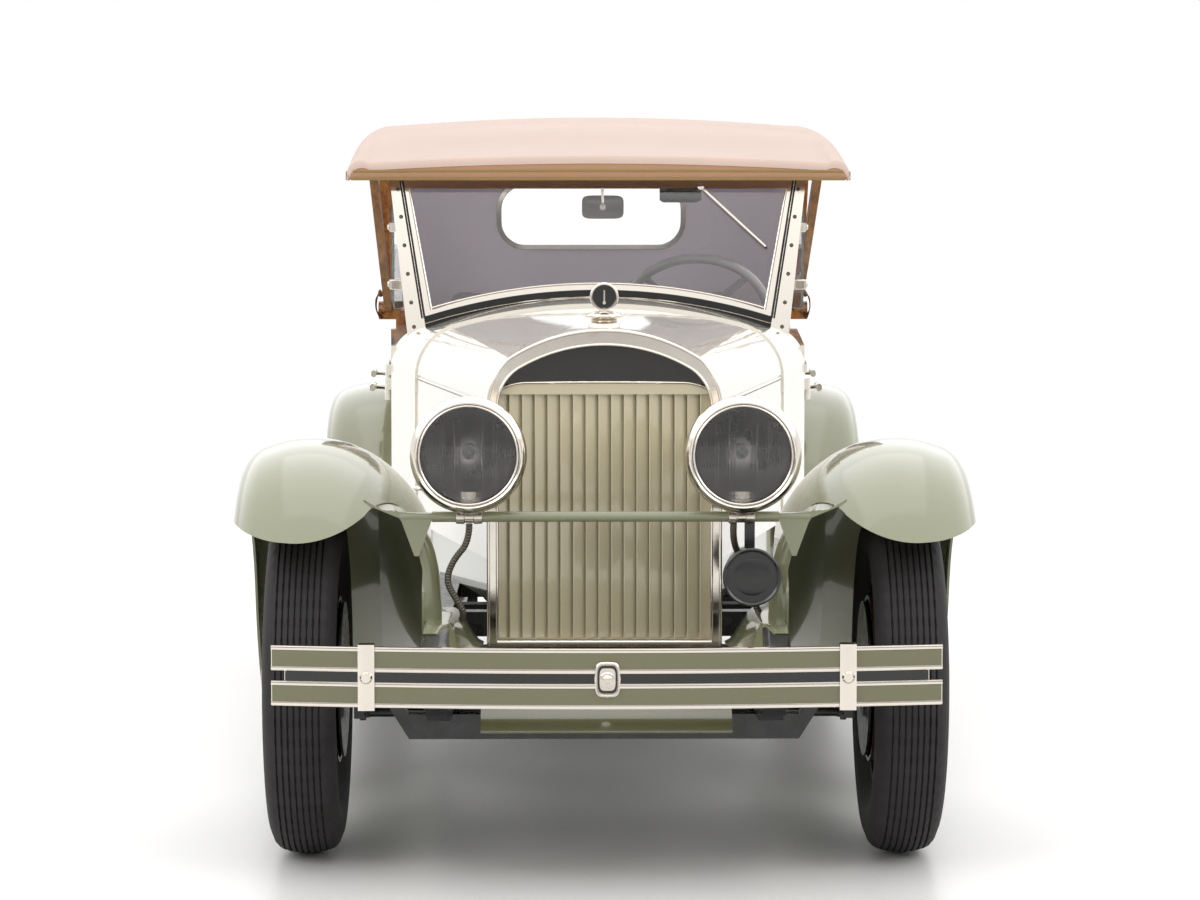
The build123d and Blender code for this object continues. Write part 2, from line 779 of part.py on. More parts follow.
def door_outline(x, first_s, last_s, bottom):
    corner = 60
    with BuildSketch(side(x)) as outline:
        with BuildLine():
            Line((at(first_s), belt_z + 20), (at(first_s), bottom + corner))
            TangentArc((at(first_s), bottom + corner), (at(first_s + corner), bottom), tangent=(0, -1))
            Line((at(first_s + corner), bottom), (at(last_s - corner), bottom))
            TangentArc((at(last_s - corner), bottom), (at(last_s), bottom + corner), tangent=(1, 0))
            Polyline((at(last_s), bottom + corner), (at(last_s), belt_z + 20), (at(first_s), belt_z + 20))
        make_face()
    return outline.sketch


def wheelhouse(radius, inner_x):
    with BuildSketch(side(inner_x)) as round_arch:
        with Locations((at(rear_fender_centre[0]), rear_fender_centre[1])):
            Circle(radius)
    extrude(round_arch.sketch, amount=fender_outer - inner_x, mode=Mode.SUBTRACT)


hinge_pin_radius = 8
hinge_knuckle = 30
hinge_leaf = 46
hinge_heights = (640, 1020)


def skin_x(s):
    return tub_front + (body_half - tub_front) * (s - cowl_rear_s) / (waist_s - cowl_rear_s)


def hinge_axis_x(door):
    return skin_x(door[0]) + hinge_pin_radius + 2


def hinge_knuckles(door, lift, direction):
    axis_x = hinge_axis_x(door)
    for z in hinge_heights:
        with Locations((axis_x, at(door[0]), z + lift)):
            Cylinder(hinge_pin_radius, hinge_knuckle)
        with Locations((axis_x - hinge_pin_radius, at(door[0]) + direction * hinge_leaf / 2, z + lift)):
            Box(hinge_pin_radius * 1.2, hinge_leaf, hinge_knuckle)


with BuildPart() as body_tub:
    add(body_wall.part)
    for first_s, last_s in (front_door, rear_door):
        opening = door_outline(
            -fender_outer, first_s - door_gap / 2, last_s + door_gap / 2, door_bottom_z - door_gap / 2
        )
        extrude(opening, amount=2 * fender_outer, mode=Mode.SUBTRACT)
    split(bisect_by=Plane.YZ, keep=Keep.TOP)
    wheelhouse(rear_fender_radius + 2, rear_fender_inner - 2)
    with Locations((rear_fender_inner + 98, at(rear_axle_s - 603), 500)):
        Box(200, 300, 80, mode=Mode.SUBTRACT)
    with Locations((0, at(rear_axle_s + 147), 500)):
        Box(2 * rear_fender_inner, 1030, 2 * (rail_top_z + rail_kick + 2 - 500), mode=Mode.SUBTRACT)
    for door in (front_door, rear_door):
        hinge_knuckles(door, hinge_knuckle + seat_gap, -1)
    mirror(about=Plane.YZ)
save(body_tub, "body_tub")

door_handle_z = 1010


def make_door(door):
    first_s, last_s = door
    with BuildPart() as leaf:
        add(body_wall.part)
        play = door_gap / 2
        shape = door_outline(body_half - 332, first_s + play, last_s - play, door_bottom_z + play)
        extrude(shape, amount=400, mode=Mode.INTERSECT)
        wheelhouse(rear_fender_radius + 16, body_half - 332)
        hinge_knuckles(door, 0, 1)
        handle_s = last_s - 55
        skin = skin_x(handle_s)
        with BuildSketch(side(skin - 10)):
            with Locations((at(handle_s), door_handle_z)):
                Circle(8)
        extrude(amount=60)
        with Locations((skin + 50, at(handle_s - 45), door_handle_z)):
            Box(14, 116, 18)
    return leaf


for place, door in (("front", front_door), ("rear", rear_door)):
    leaf = make_door(door)
    save(leaf, f"door_{place}_left")
    save(mirrored(leaf), f"door_{place}_right")

# Floor on the frame's rails, with its toe board
def cabin_plan(z):
    with BuildSketch(Plane.XY.offset(z)) as plan:
        with BuildLine():
            tub_lines()
        make_face()
        offset(amount=-wall - trim_gap, mode=Mode.REPLACE)
    return plan.sketch


heel_s = rear_axle_s - 438
with BuildPart() as floor_pan:
    with BuildSketch(side(0)):
        with BuildLine():
            Polyline(
                (at(1100), 760), (at(1330), floor_z + floor_thickness),
                (at(heel_s - 7), floor_z + floor_thickness), (at(heel_s + 149), floor_z + 120),
                (at(heel_s + 149), floor_z + 100), (at(heel_s), floor_z),
                (at(1322), floor_z), (at(1094), 750),
                close=True,
            )
        make_face()
    extrude(amount=body_half - 32, both=True)
    with BuildSketch(Plane.XY.offset(sill_z)):
        with Locations((0, at(1270))):
            Rectangle(2 * (body_half - 192), 440)
        add(cabin_plan(0))
    extrude(amount=600, mode=Mode.INTERSECT)
    extrude(column_face(24 + seat_gap), amount=column_line.length, mode=Mode.SUBTRACT)
save(floor_pan, "floor_pan")


# Seats: plain upholstered masses, a cushion and a back each
def make_seat(front_s, back_s, width, cushion_z, back_z, base_z):
    with BuildPart() as seat:
        with BuildSketch(side(-width / 2)):
            with BuildLine():
                Polyline(
                    (at(front_s), base_z), (at(front_s), cushion_z - 10), (at(back_s - 190), cushion_z - 40),
                    (at(back_s - 130), back_z), (at(back_s - 10), back_z), (at(back_s), base_z), close=True,
                )
            make_face()
        extrude(amount=width)
        fillet(seat.edges().filter_by(Axis.X).group_by(Axis.Z)[-1], 35)
        extrude(cabin_plan(base_z), amount=900, mode=Mode.INTERSECT)
    return seat


seat_base_z = floor_z + floor_thickness
save(make_seat(1760, 2380, 2 * (body_half - 92), 900, 1190, seat_base_z), "front_seat")
rear_base_z = rail_top_z + rail_kick + seat_gap
rear_width = 2 * (body_half - 87)
save(make_seat(rear_axle_s - 283, rear_axle_s + 347, rear_width, 890, 1270, rear_base_z), "rear_seat")


# Front fender: a crowned section carried over the wheel to the running board, and an apron to the frame
def fender_path(centre, radius, start, sweep_radius, board_end_s):
    centre_y, centre_z = at(centre[0]), centre[1]
    rise = board_top_z + sweep_radius - centre_z
    reach = sqrt((radius + sweep_radius) ** 2 - rise**2)
    join = degrees(atan2(rise, reach))
    with BuildLine(side(0)) as path:
        CenterArc((centre_y, centre_z), radius, 180 - start, -(180 - start - join))
        CenterArc((centre_y + reach, centre_z + rise), sweep_radius, 180 + join, 90 - join)
        Line((centre_y + reach, board_top_z), (at(board_end_s), board_top_z))
    return path.wires()[0]


def crown_section(path, points):
    with BuildSketch(Plane(origin=path @ 0, x_dir=(-1, 0, 0), z_dir=path % 0)) as section:
        with BuildLine():
            points()
            offset(amount=fender_sheet, side=Side.RIGHT)
        make_face()
    return section.sketch


def front_crown():
    Line((-fender_outer + 3, -175), (-fender_outer, -105))
    outer_x, middle_x, inner_x = wheel_x + 94, wheel_x - 11, wheel_x - 151
    TangentArc((-fender_outer, -105), (-outer_x, -18), tangent=(0, 1))
    ThreePointArc((-outer_x, -18), (-middle_x, 0), (-inner_x, -38))
    ThreePointArc((-inner_x, -38), (-wheel_x + 225, -98), (-apron_x - 1, -192))


front_path = fender_path(
    front_fender_centre, front_fender_radius, front_fender_start, front_fender_sweep_radius, board_front_s
)
with BuildPart() as front_fenders:
    sweep(crown_section(front_path, front_crown), path=front_path)
    with BuildSketch(station(front_fender_centre[0])):
        with BuildLine():
            lip_out, lip_in = (wheel_x + 30, front_lip_z), (wheel_x - 71, front_lip_z + 11)
            rim_out, rim_in = (fender_outer + 10, front_lip_z + 46), (wheel_x - 151, front_lip_z + 54)
            ThreePointArc(rim_out, (wheel_x + 127, front_lip_z + 22), lip_out)
            ThreePointArc(lip_out, lip_in, rim_in)
            Polyline(rim_in, (rim_in[0], beam_z), (rim_out[0], beam_z), rim_out)
        make_face()
    extrude(amount=front_overhang, mode=Mode.SUBTRACT)
    with BuildSketch(station(-60)):
        with BuildLine():
            ThreePointArc(rim_in, (wheel_x - 194, front_lip_z + 77), (wheel_x - 241, front_lip_z + 46))
            apron_foot = (rail_x - 13, front_lip_z - 243)
            ThreePointArc((wheel_x - 241, front_lip_z + 46), (rail_x + 32, front_lip_z - 46), apron_foot)
            Polyline(apron_foot, (rail_x - 53, front_lip_z - 243), (rail_x - 53, beam_z))
            Polyline((rail_x - 53, beam_z), (rim_in[0], beam_z), rim_in)
        make_face()
    extrude(amount=front_overhang, mode=Mode.SUBTRACT)
    with BuildSketch(side(apron_x)):
        with BuildLine():
            crown_r = front_fender_radius - 184
            centre_y, centre_z = at(front_fender_centre[0]), front_fender_centre[1]
            arc = CenterArc((centre_y, centre_z), crown_r, 150, -130)
            Polyline(arc @ 1, (at(700), 560), (at(board_front_s), 540), (at(board_front_s), 478),
                     (at(-120), 478), (at(-250), 560), arc @ 0)
        make_face()
    extrude(amount=fender_sheet)
    mirror(about=Plane.YZ)
save(front_fenders, "front_fenders")

# Rear fender: a broad crown against the body side, with a wheelhouse wall inside it
rear_path_centre = (at(rear_fender_centre[0]), rear_fender_centre[1])
rear_rise = board_top_z + rear_fender_sweep_radius - rear_fender_centre[1]
rear_reach = sqrt((rear_fender_radius + rear_fender_sweep_radius) ** 2 - rear_rise**2)
rear_join = degrees(atan2(rear_rise, rear_reach))
with BuildLine(side(0)) as rear_line:
    Line((at(board_rear_s), board_top_z), (rear_path_centre[0] - rear_reach, board_top_z))
    CenterArc(
        (rear_path_centre[0] - rear_reach, board_top_z + rear_fender_sweep_radius),
        rear_fender_sweep_radius, 270, 90 - rear_join,
    )
    CenterArc(rear_path_centre, rear_fender_radius, 180 - rear_join, -(180 - rear_join - rear_fender_end))
rear_path = rear_line.wires()[0]


def rear_crown():
    Line((-fender_outer + 3, -140), (-fender_outer, -95))
    outer_x, middle_x = wheel_x + 101, wheel_x + 9
    TangentArc((-fender_outer, -95), (-outer_x, -18), tangent=(0, 1))
    ThreePointArc((-outer_x, -18), (-middle_x, 0), (-rear_fender_inner, -6))


with BuildPart() as rear_fenders:
    sweep(crown_section(rear_path, rear_crown), path=rear_path)
    with BuildSketch(side(rear_fender_inner)):
        with BuildLine():
            low = CenterArc(rear_path_centre, rear_fender_radius - 10, 6, 166)
            Line(low @ 0, low @ 1)
        make_face()
    extrude(amount=fender_sheet)
    mirror(about=Plane.YZ)
save(rear_fenders, "rear_fenders")

# Running boards on brackets from the frame, and the aprons between the boards and the body
with BuildPart() as running_boards:
    board_inner = wheel_x - 71
    board_s = (board_front_s + board_rear_s) / 2
    with Locations(((board_inner + fender_outer) / 2, at(board_s), board_top_z - board_thickness / 2)):
        Box(fender_outer - board_inner, board_rear_s - board_front_s - 1, board_thickness)
    for s in (board_front_s + 220, board_front_s + 850, board_rear_s - 220):
        bracket_x = (rail_x + rail_width / 2 + board_inner + 120) / 2
        with Locations((bracket_x, at(s), board_top_z - board_thickness - 15)):
            Box(board_inner + 120 - rail_x - rail_width / 2, 40, 30)
        post_low, post_high = board_top_z - board_thickness - 30, rail_bottom - seat_gap
        with Locations((rail_x, at(s), (post_low + post_high) / 2)):
            Box(rail_width + 4, 40, post_high - post_low)
    mirror(about=Plane.YZ)
save(running_boards, "running_boards")

with BuildPart() as sill_aprons:
    with BuildSketch(station(board_front_s + 1)):
        Polygon(
            (apron_x, 494), (apron_x + 77, sill_z - seat_gap), (board_inner - 56, sill_z - seat_gap),
            (board_inner - 0.5, board_top_z - 6), (board_inner - 0.5, board_top_z - 22),
            (board_inner - 68, sill_z - 20), (apron_x + 77, sill_z - 20), (apron_x, 476), align=None,
        )
    extrude(amount=-(board_rear_s - board_front_s - 2))
    ledge = []
    for s, arch in ((shell_rear_s + seat_gap, hood_front_arch), (cowl_front_s - seat_gap, hood_rear_arch)):
        ledge.append(strip_face(s, arch, panel + 14, panel + 8, rail_top_z + seat_gap, hood_bottom_z - 6))
    loft(ledge, ruled=True)
    mirror(about=Plane.YZ)
save(sill_aprons, "sill_aprons")

# Splash pan between the frame horns, from the radiator's foot down to the bumper
with BuildPart() as front_splash_pan:
    with BuildSketch(side(-shell_half)):
        with BuildLine():
            Line((at(-150), shell_bottom_z - 5), (at(-150), shell_bottom_z - 11))
            drop = ThreePointArc((at(-150), shell_bottom_z - 5), (at(-330), 460), (at(-470), 360))
            Line((at(-470), 360), (at(-463), 356))
            ThreePointArc((at(-463), 356), (at(-326), 454), (at(-150), shell_bottom_z - 11))
        make_face()
    extrude(amount=2 * shell_half)
    with BuildSketch(side(-rail_x + rail_width / 2 + seat_gap)):
        with BuildLine():
            Polyline(
                (at(shell_front_s + 60), shell_bottom_z - seat_gap), (at(-160), shell_bottom_z - 5),
                (at(-160), shell_bottom_z - 11), (at(shell_front_s + 60), shell_bottom_z - 6), close=True,
            )
        make_face()
    extrude(amount=2 * (rail_x - rail_width / 2 - seat_gap))
save(front_splash_pan, "front_splash_pan")


# Bumpers: bowed double bars, with clamps and irons
def bar_face(front_s, half, bow, thickness, plane):
    front_y, end_y = at(front_s), at(front_s) + bow
    with BuildSketch(plane) as bar:
        with BuildLine():
            face_arc = ThreePointArc((-half, end_y), (0, front_y), (half, end_y))
            back_y, back_end_y = front_y + thickness, end_y + thickness
            back_arc = ThreePointArc((-half, back_end_y), (0, back_y), (half, back_end_y))
            Line(face_arc @ 0, back_arc @ 0)
            Line(face_arc @ 1, back_arc @ 1)
        make_face()
    return bar.sketch


bumper_front_s = -front_overhang + 8
bar_offset = (bumper_bar_height + bumper_gap) / 2
with BuildPart() as front_bumper_bars:
    for z in (bumper_z - bar_offset, bumper_z + bar_offset):
        plane = Plane.XY.offset(z - bumper_bar_height / 2)
        extrude(bar_face(bumper_front_s, bumper_half, bumper_bow, bumper_bar_thickness, plane),
                amount=bumper_bar_height)
    plane = Plane.XY.offset(bumper_z - bumper_gap / 2)
    extrude(bar_face(bumper_front_s + 3, bumper_half - 30, bumper_bow - 4, 7, plane), amount=bumper_gap)
save(front_bumper_bars, "front_bumper_bars")

clamp_front = bumper_front_s + bumper_bow * (clamp_x / bumper_half) ** 2
with BuildPart() as front_bumper_irons:
    clamp_height = 2 * bumper_bar_height + bumper_gap + 12
    for x in (clamp_x, -clamp_x):
        with Locations((x, at(clamp_front - 3), bumper_z)):
            Box(36, 14, clamp_height)
        with Locations((x, at(clamp_front + bumper_bar_thickness + 8), bumper_z)):
            Box(36, 14, clamp_height)
    with BuildSketch(station(bumper_front_s - 8)):
        with Locations((0, bumper_z)):
            Ellipse(29, 40)
    extrude(amount=-8 + seat_gap)
    for hand in (1, -1):
        iron_y = at(clamp_front + bumper_bar_thickness + 18)
        with BuildSketch(Plane.XY.offset(bumper_z - 16)):
            with BuildLine():
                FilletPolyline(
                    (hand * (clamp_x + 10), iron_y), (hand * (rail_x + 60), iron_y + 20),
                    (hand * (rail_x + rail_width / 2 + 6), iron_y + 90),
                    (hand * (rail_x + rail_width / 2 + 6), at(-330)), radius=30,
                )
                offset(amount=5.7)
            make_face()
        extrude(amount=32)
    add(front_bumper_bars.part, mode=Mode.SUBTRACT)
save(front_bumper_irons, "front_bumper_irons")

# Rear bumper: a short bar behind each rear fender
rear_bumper_s = rear_axle_s + rear_overhang
rear_bumper_z = 548
with BuildPart() as rear_bumper:
    for z in (rear_bumper_z - bar_offset, rear_bumper_z + bar_offset):
        with Locations((600, at(rear_bumper_s - 6), z)):
            Box(330, 12, bumper_bar_height)
    with Locations((560, at(rear_bumper_s - 17), rear_bumper_z)):
        Box(36, 10, 2 * bumper_bar_height + bumper_gap)
    with BuildSketch(Plane.XY.offset(rear_eye_z + spring_eye_radius + 5)):
        with BuildLine():
            FilletPolyline(
                (570, at(rear_bumper_s - 26)), (470, at(rear_bumper_s - 40)),
                (rail_x + rail_width / 2 + 6, at(rail_rear_s - 40)),
                (rail_x + rail_width / 2 + 6, at(rail_rear_s - 230)), radius=30,
            )
            offset(amount=5.5)
        make_face()
    extrude(amount=24)
    mirror(about=Plane.YZ)
save(rear_bumper, "rear_bumper")

# Lamp bar between the front fenders, carrying the headlamps
with BuildPart() as lamp_bar:
    with BuildSketch(side(231 - wheel_x)):
        with Locations((at(lamp_bar_s), lamp_bar_z)):
            Circle(lamp_bar_radius)
    extrude(amount=2 * (wheel_x - 231))
    for hand in (1, -1):
        with BuildSketch(station(lamp_bar_s + 8)):
            Polygon(
                (hand * (wheel_x - 311), lamp_bar_z + 6), (hand * (wheel_x - 225), lamp_bar_z + 12),
                (hand * (wheel_x - 191), lamp_bar_z + 17), (hand * (wheel_x - 149), lamp_bar_z + 40),
                (hand * (wheel_x - 155), lamp_bar_z + 28), (hand * (wheel_x - 233), lamp_bar_z - 4),
                (hand * (wheel_x - 265), lamp_bar_z - 92), (hand * (wheel_x - 275), lamp_bar_z - 92),
                align=None,
            )
        extrude(amount=16)
    add(front_fenders.part, mode=Mode.SUBTRACT)
save(lamp_bar, "lamp_bar")

with BuildPart() as headlamp_shells:
    lamp_origin = (lamp_x, at(lamp_front_s), lamp_z)
    lamp_plane = Plane(origin=lamp_origin, x_dir=(0, 1, 0), z_dir=(1, 0, 0))
    with BuildSketch(lamp_plane):
        with BuildLine():
            Polyline(
                (0, lens_radius + seat_gap), (0, lamp_radius - 8), (12, lamp_radius), (26, lamp_radius),
                (30, lamp_radius - 10),
            )
            ThreePointArc((30, lamp_radius - 10), (130, 88), (lamp_depth, 0))
            Line((lamp_depth, 0), (lamp_depth - 12, 0))
            ThreePointArc((lamp_depth - 12, 0), (122, 80), (26, lens_radius + seat_gap))
            Line((26, lens_radius + seat_gap), (0, lens_radius + seat_gap))
        make_face()
    revolve(axis=Axis(lamp_origin, (0, 1, 0)))
    foot_low, foot_high = lamp_bar_z + lamp_bar_radius + seat_gap, lamp_z - lens_radius + 30
    with Locations((lamp_x, at(lamp_bar_s), (foot_low + foot_high) / 2)):
        Box(40, 40, foot_high - foot_low)
    with BuildSketch(lamp_plane):
        with BuildLine():
            Line((26, 0), (lamp_depth - 12, 0))
            ThreePointArc((lamp_depth - 12, 0), (122, 80), (26, lens_radius + seat_gap))
            Line((26, lens_radius + seat_gap), (26, 0))
        make_face()
    revolve(axis=Axis(lamp_origin, (0, 1, 0)), mode=Mode.SUBTRACT)
    mirror(about=Plane.YZ)
save(headlamp_shells, "headlamp_shells")

with BuildPart() as headlamp_lenses:
    with BuildSketch(station(lamp_front_s + 22)):
        with Locations((lamp_x, lamp_z), (-lamp_x, lamp_z)):
            Circle(lens_radius)
    extrude(amount=14)
save(headlamp_lenses, "headlamp_lenses")

# Horn hung from the lamp bar
with BuildPart() as horn:
    horn_front = lamp_bar_s - 110
    with BuildSketch(Plane(origin=(horn_x, at(horn_front), horn_z), x_dir=(0, 1, 0), z_dir=(1, 0, 0))):
        with BuildLine():
            Polyline((0, 0), (0, 67), (8, 67))
            ThreePointArc((8, 67), (60, 34), (130, 26))
            Polyline((130, 26), (130, 50), (210, 50), (210, 0), (0, 0))
        make_face()
    revolve(axis=Axis((horn_x, at(horn_front), horn_z), (0, 1, 0)))
    with Locations((horn_x, at(lamp_bar_s), (horn_z + lamp_bar_z - lamp_bar_radius - seat_gap) / 2)):
        Box(24, 8, lamp_bar_z - lamp_bar_radius - seat_gap - horn_z)
save(horn, "horn")

# Tail lamps on the rear fenders
with BuildPart() as tail_lamps:
    tail_angle = radians(24)
    tail_x = wheel_x - 11
    post = Plane(
        origin=(tail_x, rear_path_centre[0], rear_path_centre[1]), x_dir=(1, 0, 0),
        z_dir=(0, cos(tail_angle), sin(tail_angle)),
    )
    with BuildSketch(post.offset(rear_fender_radius - 4)):
        Circle(12)
    extrude(amount=70)
    lamp_middle = post.offset(rear_fender_radius + 80).origin
    with BuildSketch(Plane(origin=lamp_middle + Vector(0, 40, 0), x_dir=(1, 0, 0), z_dir=(0, -1, 0))):
        Circle(46)
    extrude(amount=80)
    mirror(about=Plane.YZ)
    add(rear_fenders.part, mode=Mode.SUBTRACT)
save(tail_lamps, "tail_lamps")

# Instrument panel under the cowl's rear edge
with BuildPart() as instrument_panel:
    extrude(arch_face(station(cowl_rear_s - 4), inset(cowl_rear_arch, panel - 4), 1000), amount=14)
    with Locations((0, at(cowl_rear_s), 1040)):
        Box(2 * tub_front, 60, 120, mode=Mode.SUBTRACT)
    add(cowl.part, mode=Mode.SUBTRACT)
save(instrument_panel, "instrument_panel")

# Windshield: leaning stanchions, a frame round the glass whose foot follows the cowl, and two wind wings
shield_base_z = cowl_rear_arch[4] - 97
shield_top = 424
shield_plane = Plane(
    origin=(0, at(windshield_base_s), shield_base_z), x_dir=(1, 0, 0),
    z_dir=(0, -cos(radians(windshield_lean)), sin(radians(windshield_lean))),
)


def shield_outline(inset_by):
    foot_corner, foot_mid, top = 38 + inset_by, 113 + inset_by, shield_top - inset_by
    low, high = tub_front - 94 - inset_by, tub_front - 32 - inset_by
    with BuildSketch(shield_plane) as outline:
        with BuildLine():
            ThreePointArc((-low, foot_corner), (0, foot_mid), (low, foot_corner))
            Polyline((low, foot_corner), (high, top), (-high, top), (-low, foot_corner))
        make_face()
    return outline.sketch


with BuildPart() as windshield_frame:
    extrude(shield_outline(0), amount=9, both=True)
    extrude(shield_outline(22), amount=20, both=True, mode=Mode.SUBTRACT)
    for hand in (1, -1):
        with BuildSketch(shield_plane):
            Polygon(
                (hand * (tub_front - 104), -26), (hand * (tub_front - 50), -30),
                (hand * (tub_front + 2), shield_top), (hand * (tub_front - 38), shield_top),
                (hand * (tub_front - 94), 36), align=None,
            )
        extrude(amount=16, both=True)
    nose = [
        arch_face(station(cowl_front_s), hood_rear_arch, sill_z),
        arch_face(station(cowl_rear_s), cowl_rear_arch, sill_z),
    ]
    loft(nose, ruled=True, mode=Mode.SUBTRACT)
save(windshield_frame, "windshield_frame")

with BuildPart() as windshield_glass:
    extrude(shield_outline(22 + seat_gap), amount=glass_thickness / 2, both=True)
save(windshield_glass, "windshield_glass")

with BuildPart() as wind_wings:
    wing_x = tub_front - 6
    wing_plane = Plane(origin=(wing_x, at(1452), 1410), x_dir=(-0.12, 0.99, 0), z_dir=(0.99, 0.12, 0))
    with BuildSketch(wing_plane):
        with Locations((128, 0)):
            RectangleRounded(230, 300, 40)
    extrude(amount=6)
    for z in (1330, 1490):
        up = (z - shield_base_z) / cos(radians(windshield_lean))
        post_x = tub_front - 53 + 52 * (up + 30) / (shield_top + 30)
        post_s = windshield_base_s + up * sin(radians(windshield_lean))
        with Locations(((post_x + wing_x + 2) / 2, at((post_s + 1490) / 2), z)):
            Box(wing_x + 2 - post_x, 1490 - post_s, 24)
    mirror(about=Plane.YZ)
    add(windshield_frame.part, mode=Mode.SUBTRACT)
save(wind_wings, "wind_wings")

# Folding top: roof fabric over the bows, and the back curtain with its window
roof_table = (  # station, half width, edge height, side top, corner height, crown height
    (top_front_s, body_half + 62, 1622, 1636, 1666, 1685),
    (1850, body_half + 68, 1650, 1690, 1736, 1764),
    (rear_axle_s - 753, body_half + 68, 1668, 1730, 1788, 1817),
    (rear_axle_s - 103, body_half + 66, 1660, 1730, 1796, 1825),
    (rear_axle_s + 387, body_half + 44, 1640, 1700, 1764, 1796),
)


def roof_section(row, lower, drop=0):
    s, half, edge, side_top, corner, crown = row
    reach, base = half - lower, edge - 2 * lower - drop
    with BuildSketch(station(s)) as section:
        with BuildLine():
            for hand in (1, -1):
                Line((hand * reach, base), (hand * reach, side_top))
                TangentArc((hand * reach, side_top), (hand * (reach - 60), corner - lower), tangent=(0, 1))
            ThreePointArc((reach - 60, corner - lower), (0, crown - lower), (60 - reach, corner - lower))
            Line((reach, base), (-reach, base))
        make_face()
    return section.sketch


with BuildPart() as top_roof:
    loft([roof_section(row, 0) for row in roof_table], ruled=True)
    loft([roof_section(row, top_sheet) for row in roof_table], ruled=True, mode=Mode.SUBTRACT)
save(top_roof, "top_roof")

# Back curtain: the rear of the body's plan outline carried up to the roof, open at the window
curtain_front_s = rear_axle_s - 23
curtain_low_z = belt_z + seat_gap
curtain_high_z = 1830
window_width = 636
window_height = 223
window_z = 1505
window_corner = 90


def curtain_face(z, grow, lean, sheet, front_s):
    front_x = body_half - 4 + grow - sheet
    turn_x = front_x - 16
    bend_x = body_half - 76 + grow - 0.8 * sheet
    turn_s, bend_s = rear_axle_s + 127 - lean, rear_axle_s + 337 - lean - 0.6 * sheet
    corner_s = tail_s - lean - sheet
    back_s = corner_s + 15
    with BuildSketch(Plane.XY.offset(z)) as ring:
        with BuildLine():
            for hand in (1, -1):
                turn, corner = (hand * turn_x, at(turn_s)), (hand * tail_half, at(corner_s))
                Line((hand * front_x, at(front_s)), turn)
                ThreePointArc(turn, (hand * bend_x, at(bend_s)), corner)
            ThreePointArc((tail_half, at(corner_s)), (0, at(back_s)), (-tail_half, at(corner_s)))
            Line((-front_x, at(front_s)), (front_x, at(front_s)))
        make_face()
    return ring.sketch


def curtain_sheet():
    outer = [
        curtain_face(curtain_low_z, 4, 0, 0, curtain_front_s),
        curtain_face(curtain_high_z, 26, 60, 0, curtain_front_s),
    ]
    loft(outer, ruled=True)
    cut_front = curtain_front_s - 40
    inner = [
        curtain_face(curtain_low_z - 1, 4, 0, top_sheet, cut_front),
        curtain_face(curtain_high_z + 1, 26, 60, top_sheet, cut_front),
    ]
    loft(inner, ruled=True, mode=Mode.SUBTRACT)


def window_face(gap):
    with BuildSketch(station(tail_s + 25)) as face:
        with Locations((0, window_z)):
            RectangleRounded(window_width - 2 * gap, window_height - 2 * gap, window_corner - gap)
    return face.sketch


with BuildPart() as back_curtain:
    curtain_sheet()
    under_roof = roof_table + ((tail_s + 125,) + roof_table[-1][1:],)
    under_faces = [roof_section(row, top_sheet + seat_gap, 600) for row in under_roof]
    loft(under_faces, ruled=True, mode=Mode.INTERSECT)
    extrude(window_face(0), amount=200, mode=Mode.SUBTRACT)
save(back_curtain, "back_curtain")

with BuildPart() as rear_window:
    curtain_sheet()
    extrude(window_face(seat_gap), amount=200, mode=Mode.INTERSECT)
save(rear_window, "rear_window")


# Bows: each an inverted U in a plane through the pivots on the body's sides
def roof_height(s):
    for first, second in zip(roof_table, roof_table[1:]):
        if first[0] <= s <= second[0]:
            part = (s - first[0]) / (second[0] - first[0])
            return first[5] + part * (second[5] - first[5])
    return roof_table[-1][5]


with BuildPart() as top_bows:
    bow_stations = (1880, waist_s, rear_axle_s - 183)
    for bow_s in bow_stations:
        crown_z = roof_height(bow_s) - top_sheet - seat_gap
        run, climb = bow_s - bow_pivot_s, crown_z - bow_pivot_z
        climb = climb - bow_width / 2 * abs(run) / hypot(run, climb) - seat_gap
        length = hypot(run, climb)
        bow_plane = Plane(
            origin=(0, at(bow_pivot_s), bow_pivot_z), x_dir=(1, 0, 0),
            z_dir=(0, climb / length, -run / length),
        )
        with BuildSketch(bow_plane):
            with BuildLine():
                shoulder = length * (1 - 66 / climb)
                Line((bow_x, 0), (bow_x, -shoulder + 70))
                TangentArc((bow_x, -shoulder + 70), (bow_x - 70, -shoulder), tangent=(0, -1))
                ThreePointArc((bow_x - 70, -shoulder), (0, -length), (-bow_x + 70, -shoulder))
                TangentArc((-bow_x, -shoulder + 70), (-bow_x + 70, -shoulder), tangent=(0, -1))
                Line((-bow_x, -shoulder + 70), (-bow_x, 0))
                offset(amount=bow_thickness, side=Side.RIGHT)
            make_face()
        extrude(amount=bow_width / 2, both=True)
    for hand in (1, -1):
        with BuildSketch(side(hand * (body_half - 12))):
            with Locations((at(bow_pivot_s), bow_pivot_z)):
                Circle(30)
        extrude(amount=hand * (bow_x - body_half + 32))
        with Locations((hand * (body_half - 14), at(bow_pivot_s), (belt_z + bow_pivot_z) / 2)):
            Box(36, 50, bow_pivot_z - belt_z - 2 * seat_gap)
save(top_bows, "top_bows")

# Steering column and wheel on the left
with BuildPart() as steering_column:
    extrude(column_face(24), amount=column_line.length)
    extrude(column_face(11), amount=column_line.length + 40)
    box_width = rail_x - rail_width / 2 - seat_gap - column_x + 50
    with Locations((column_x - 50 + box_width / 2, at(870), 510)):
        Box(box_width, 120, 130)
save(steering_column, "steering_column")

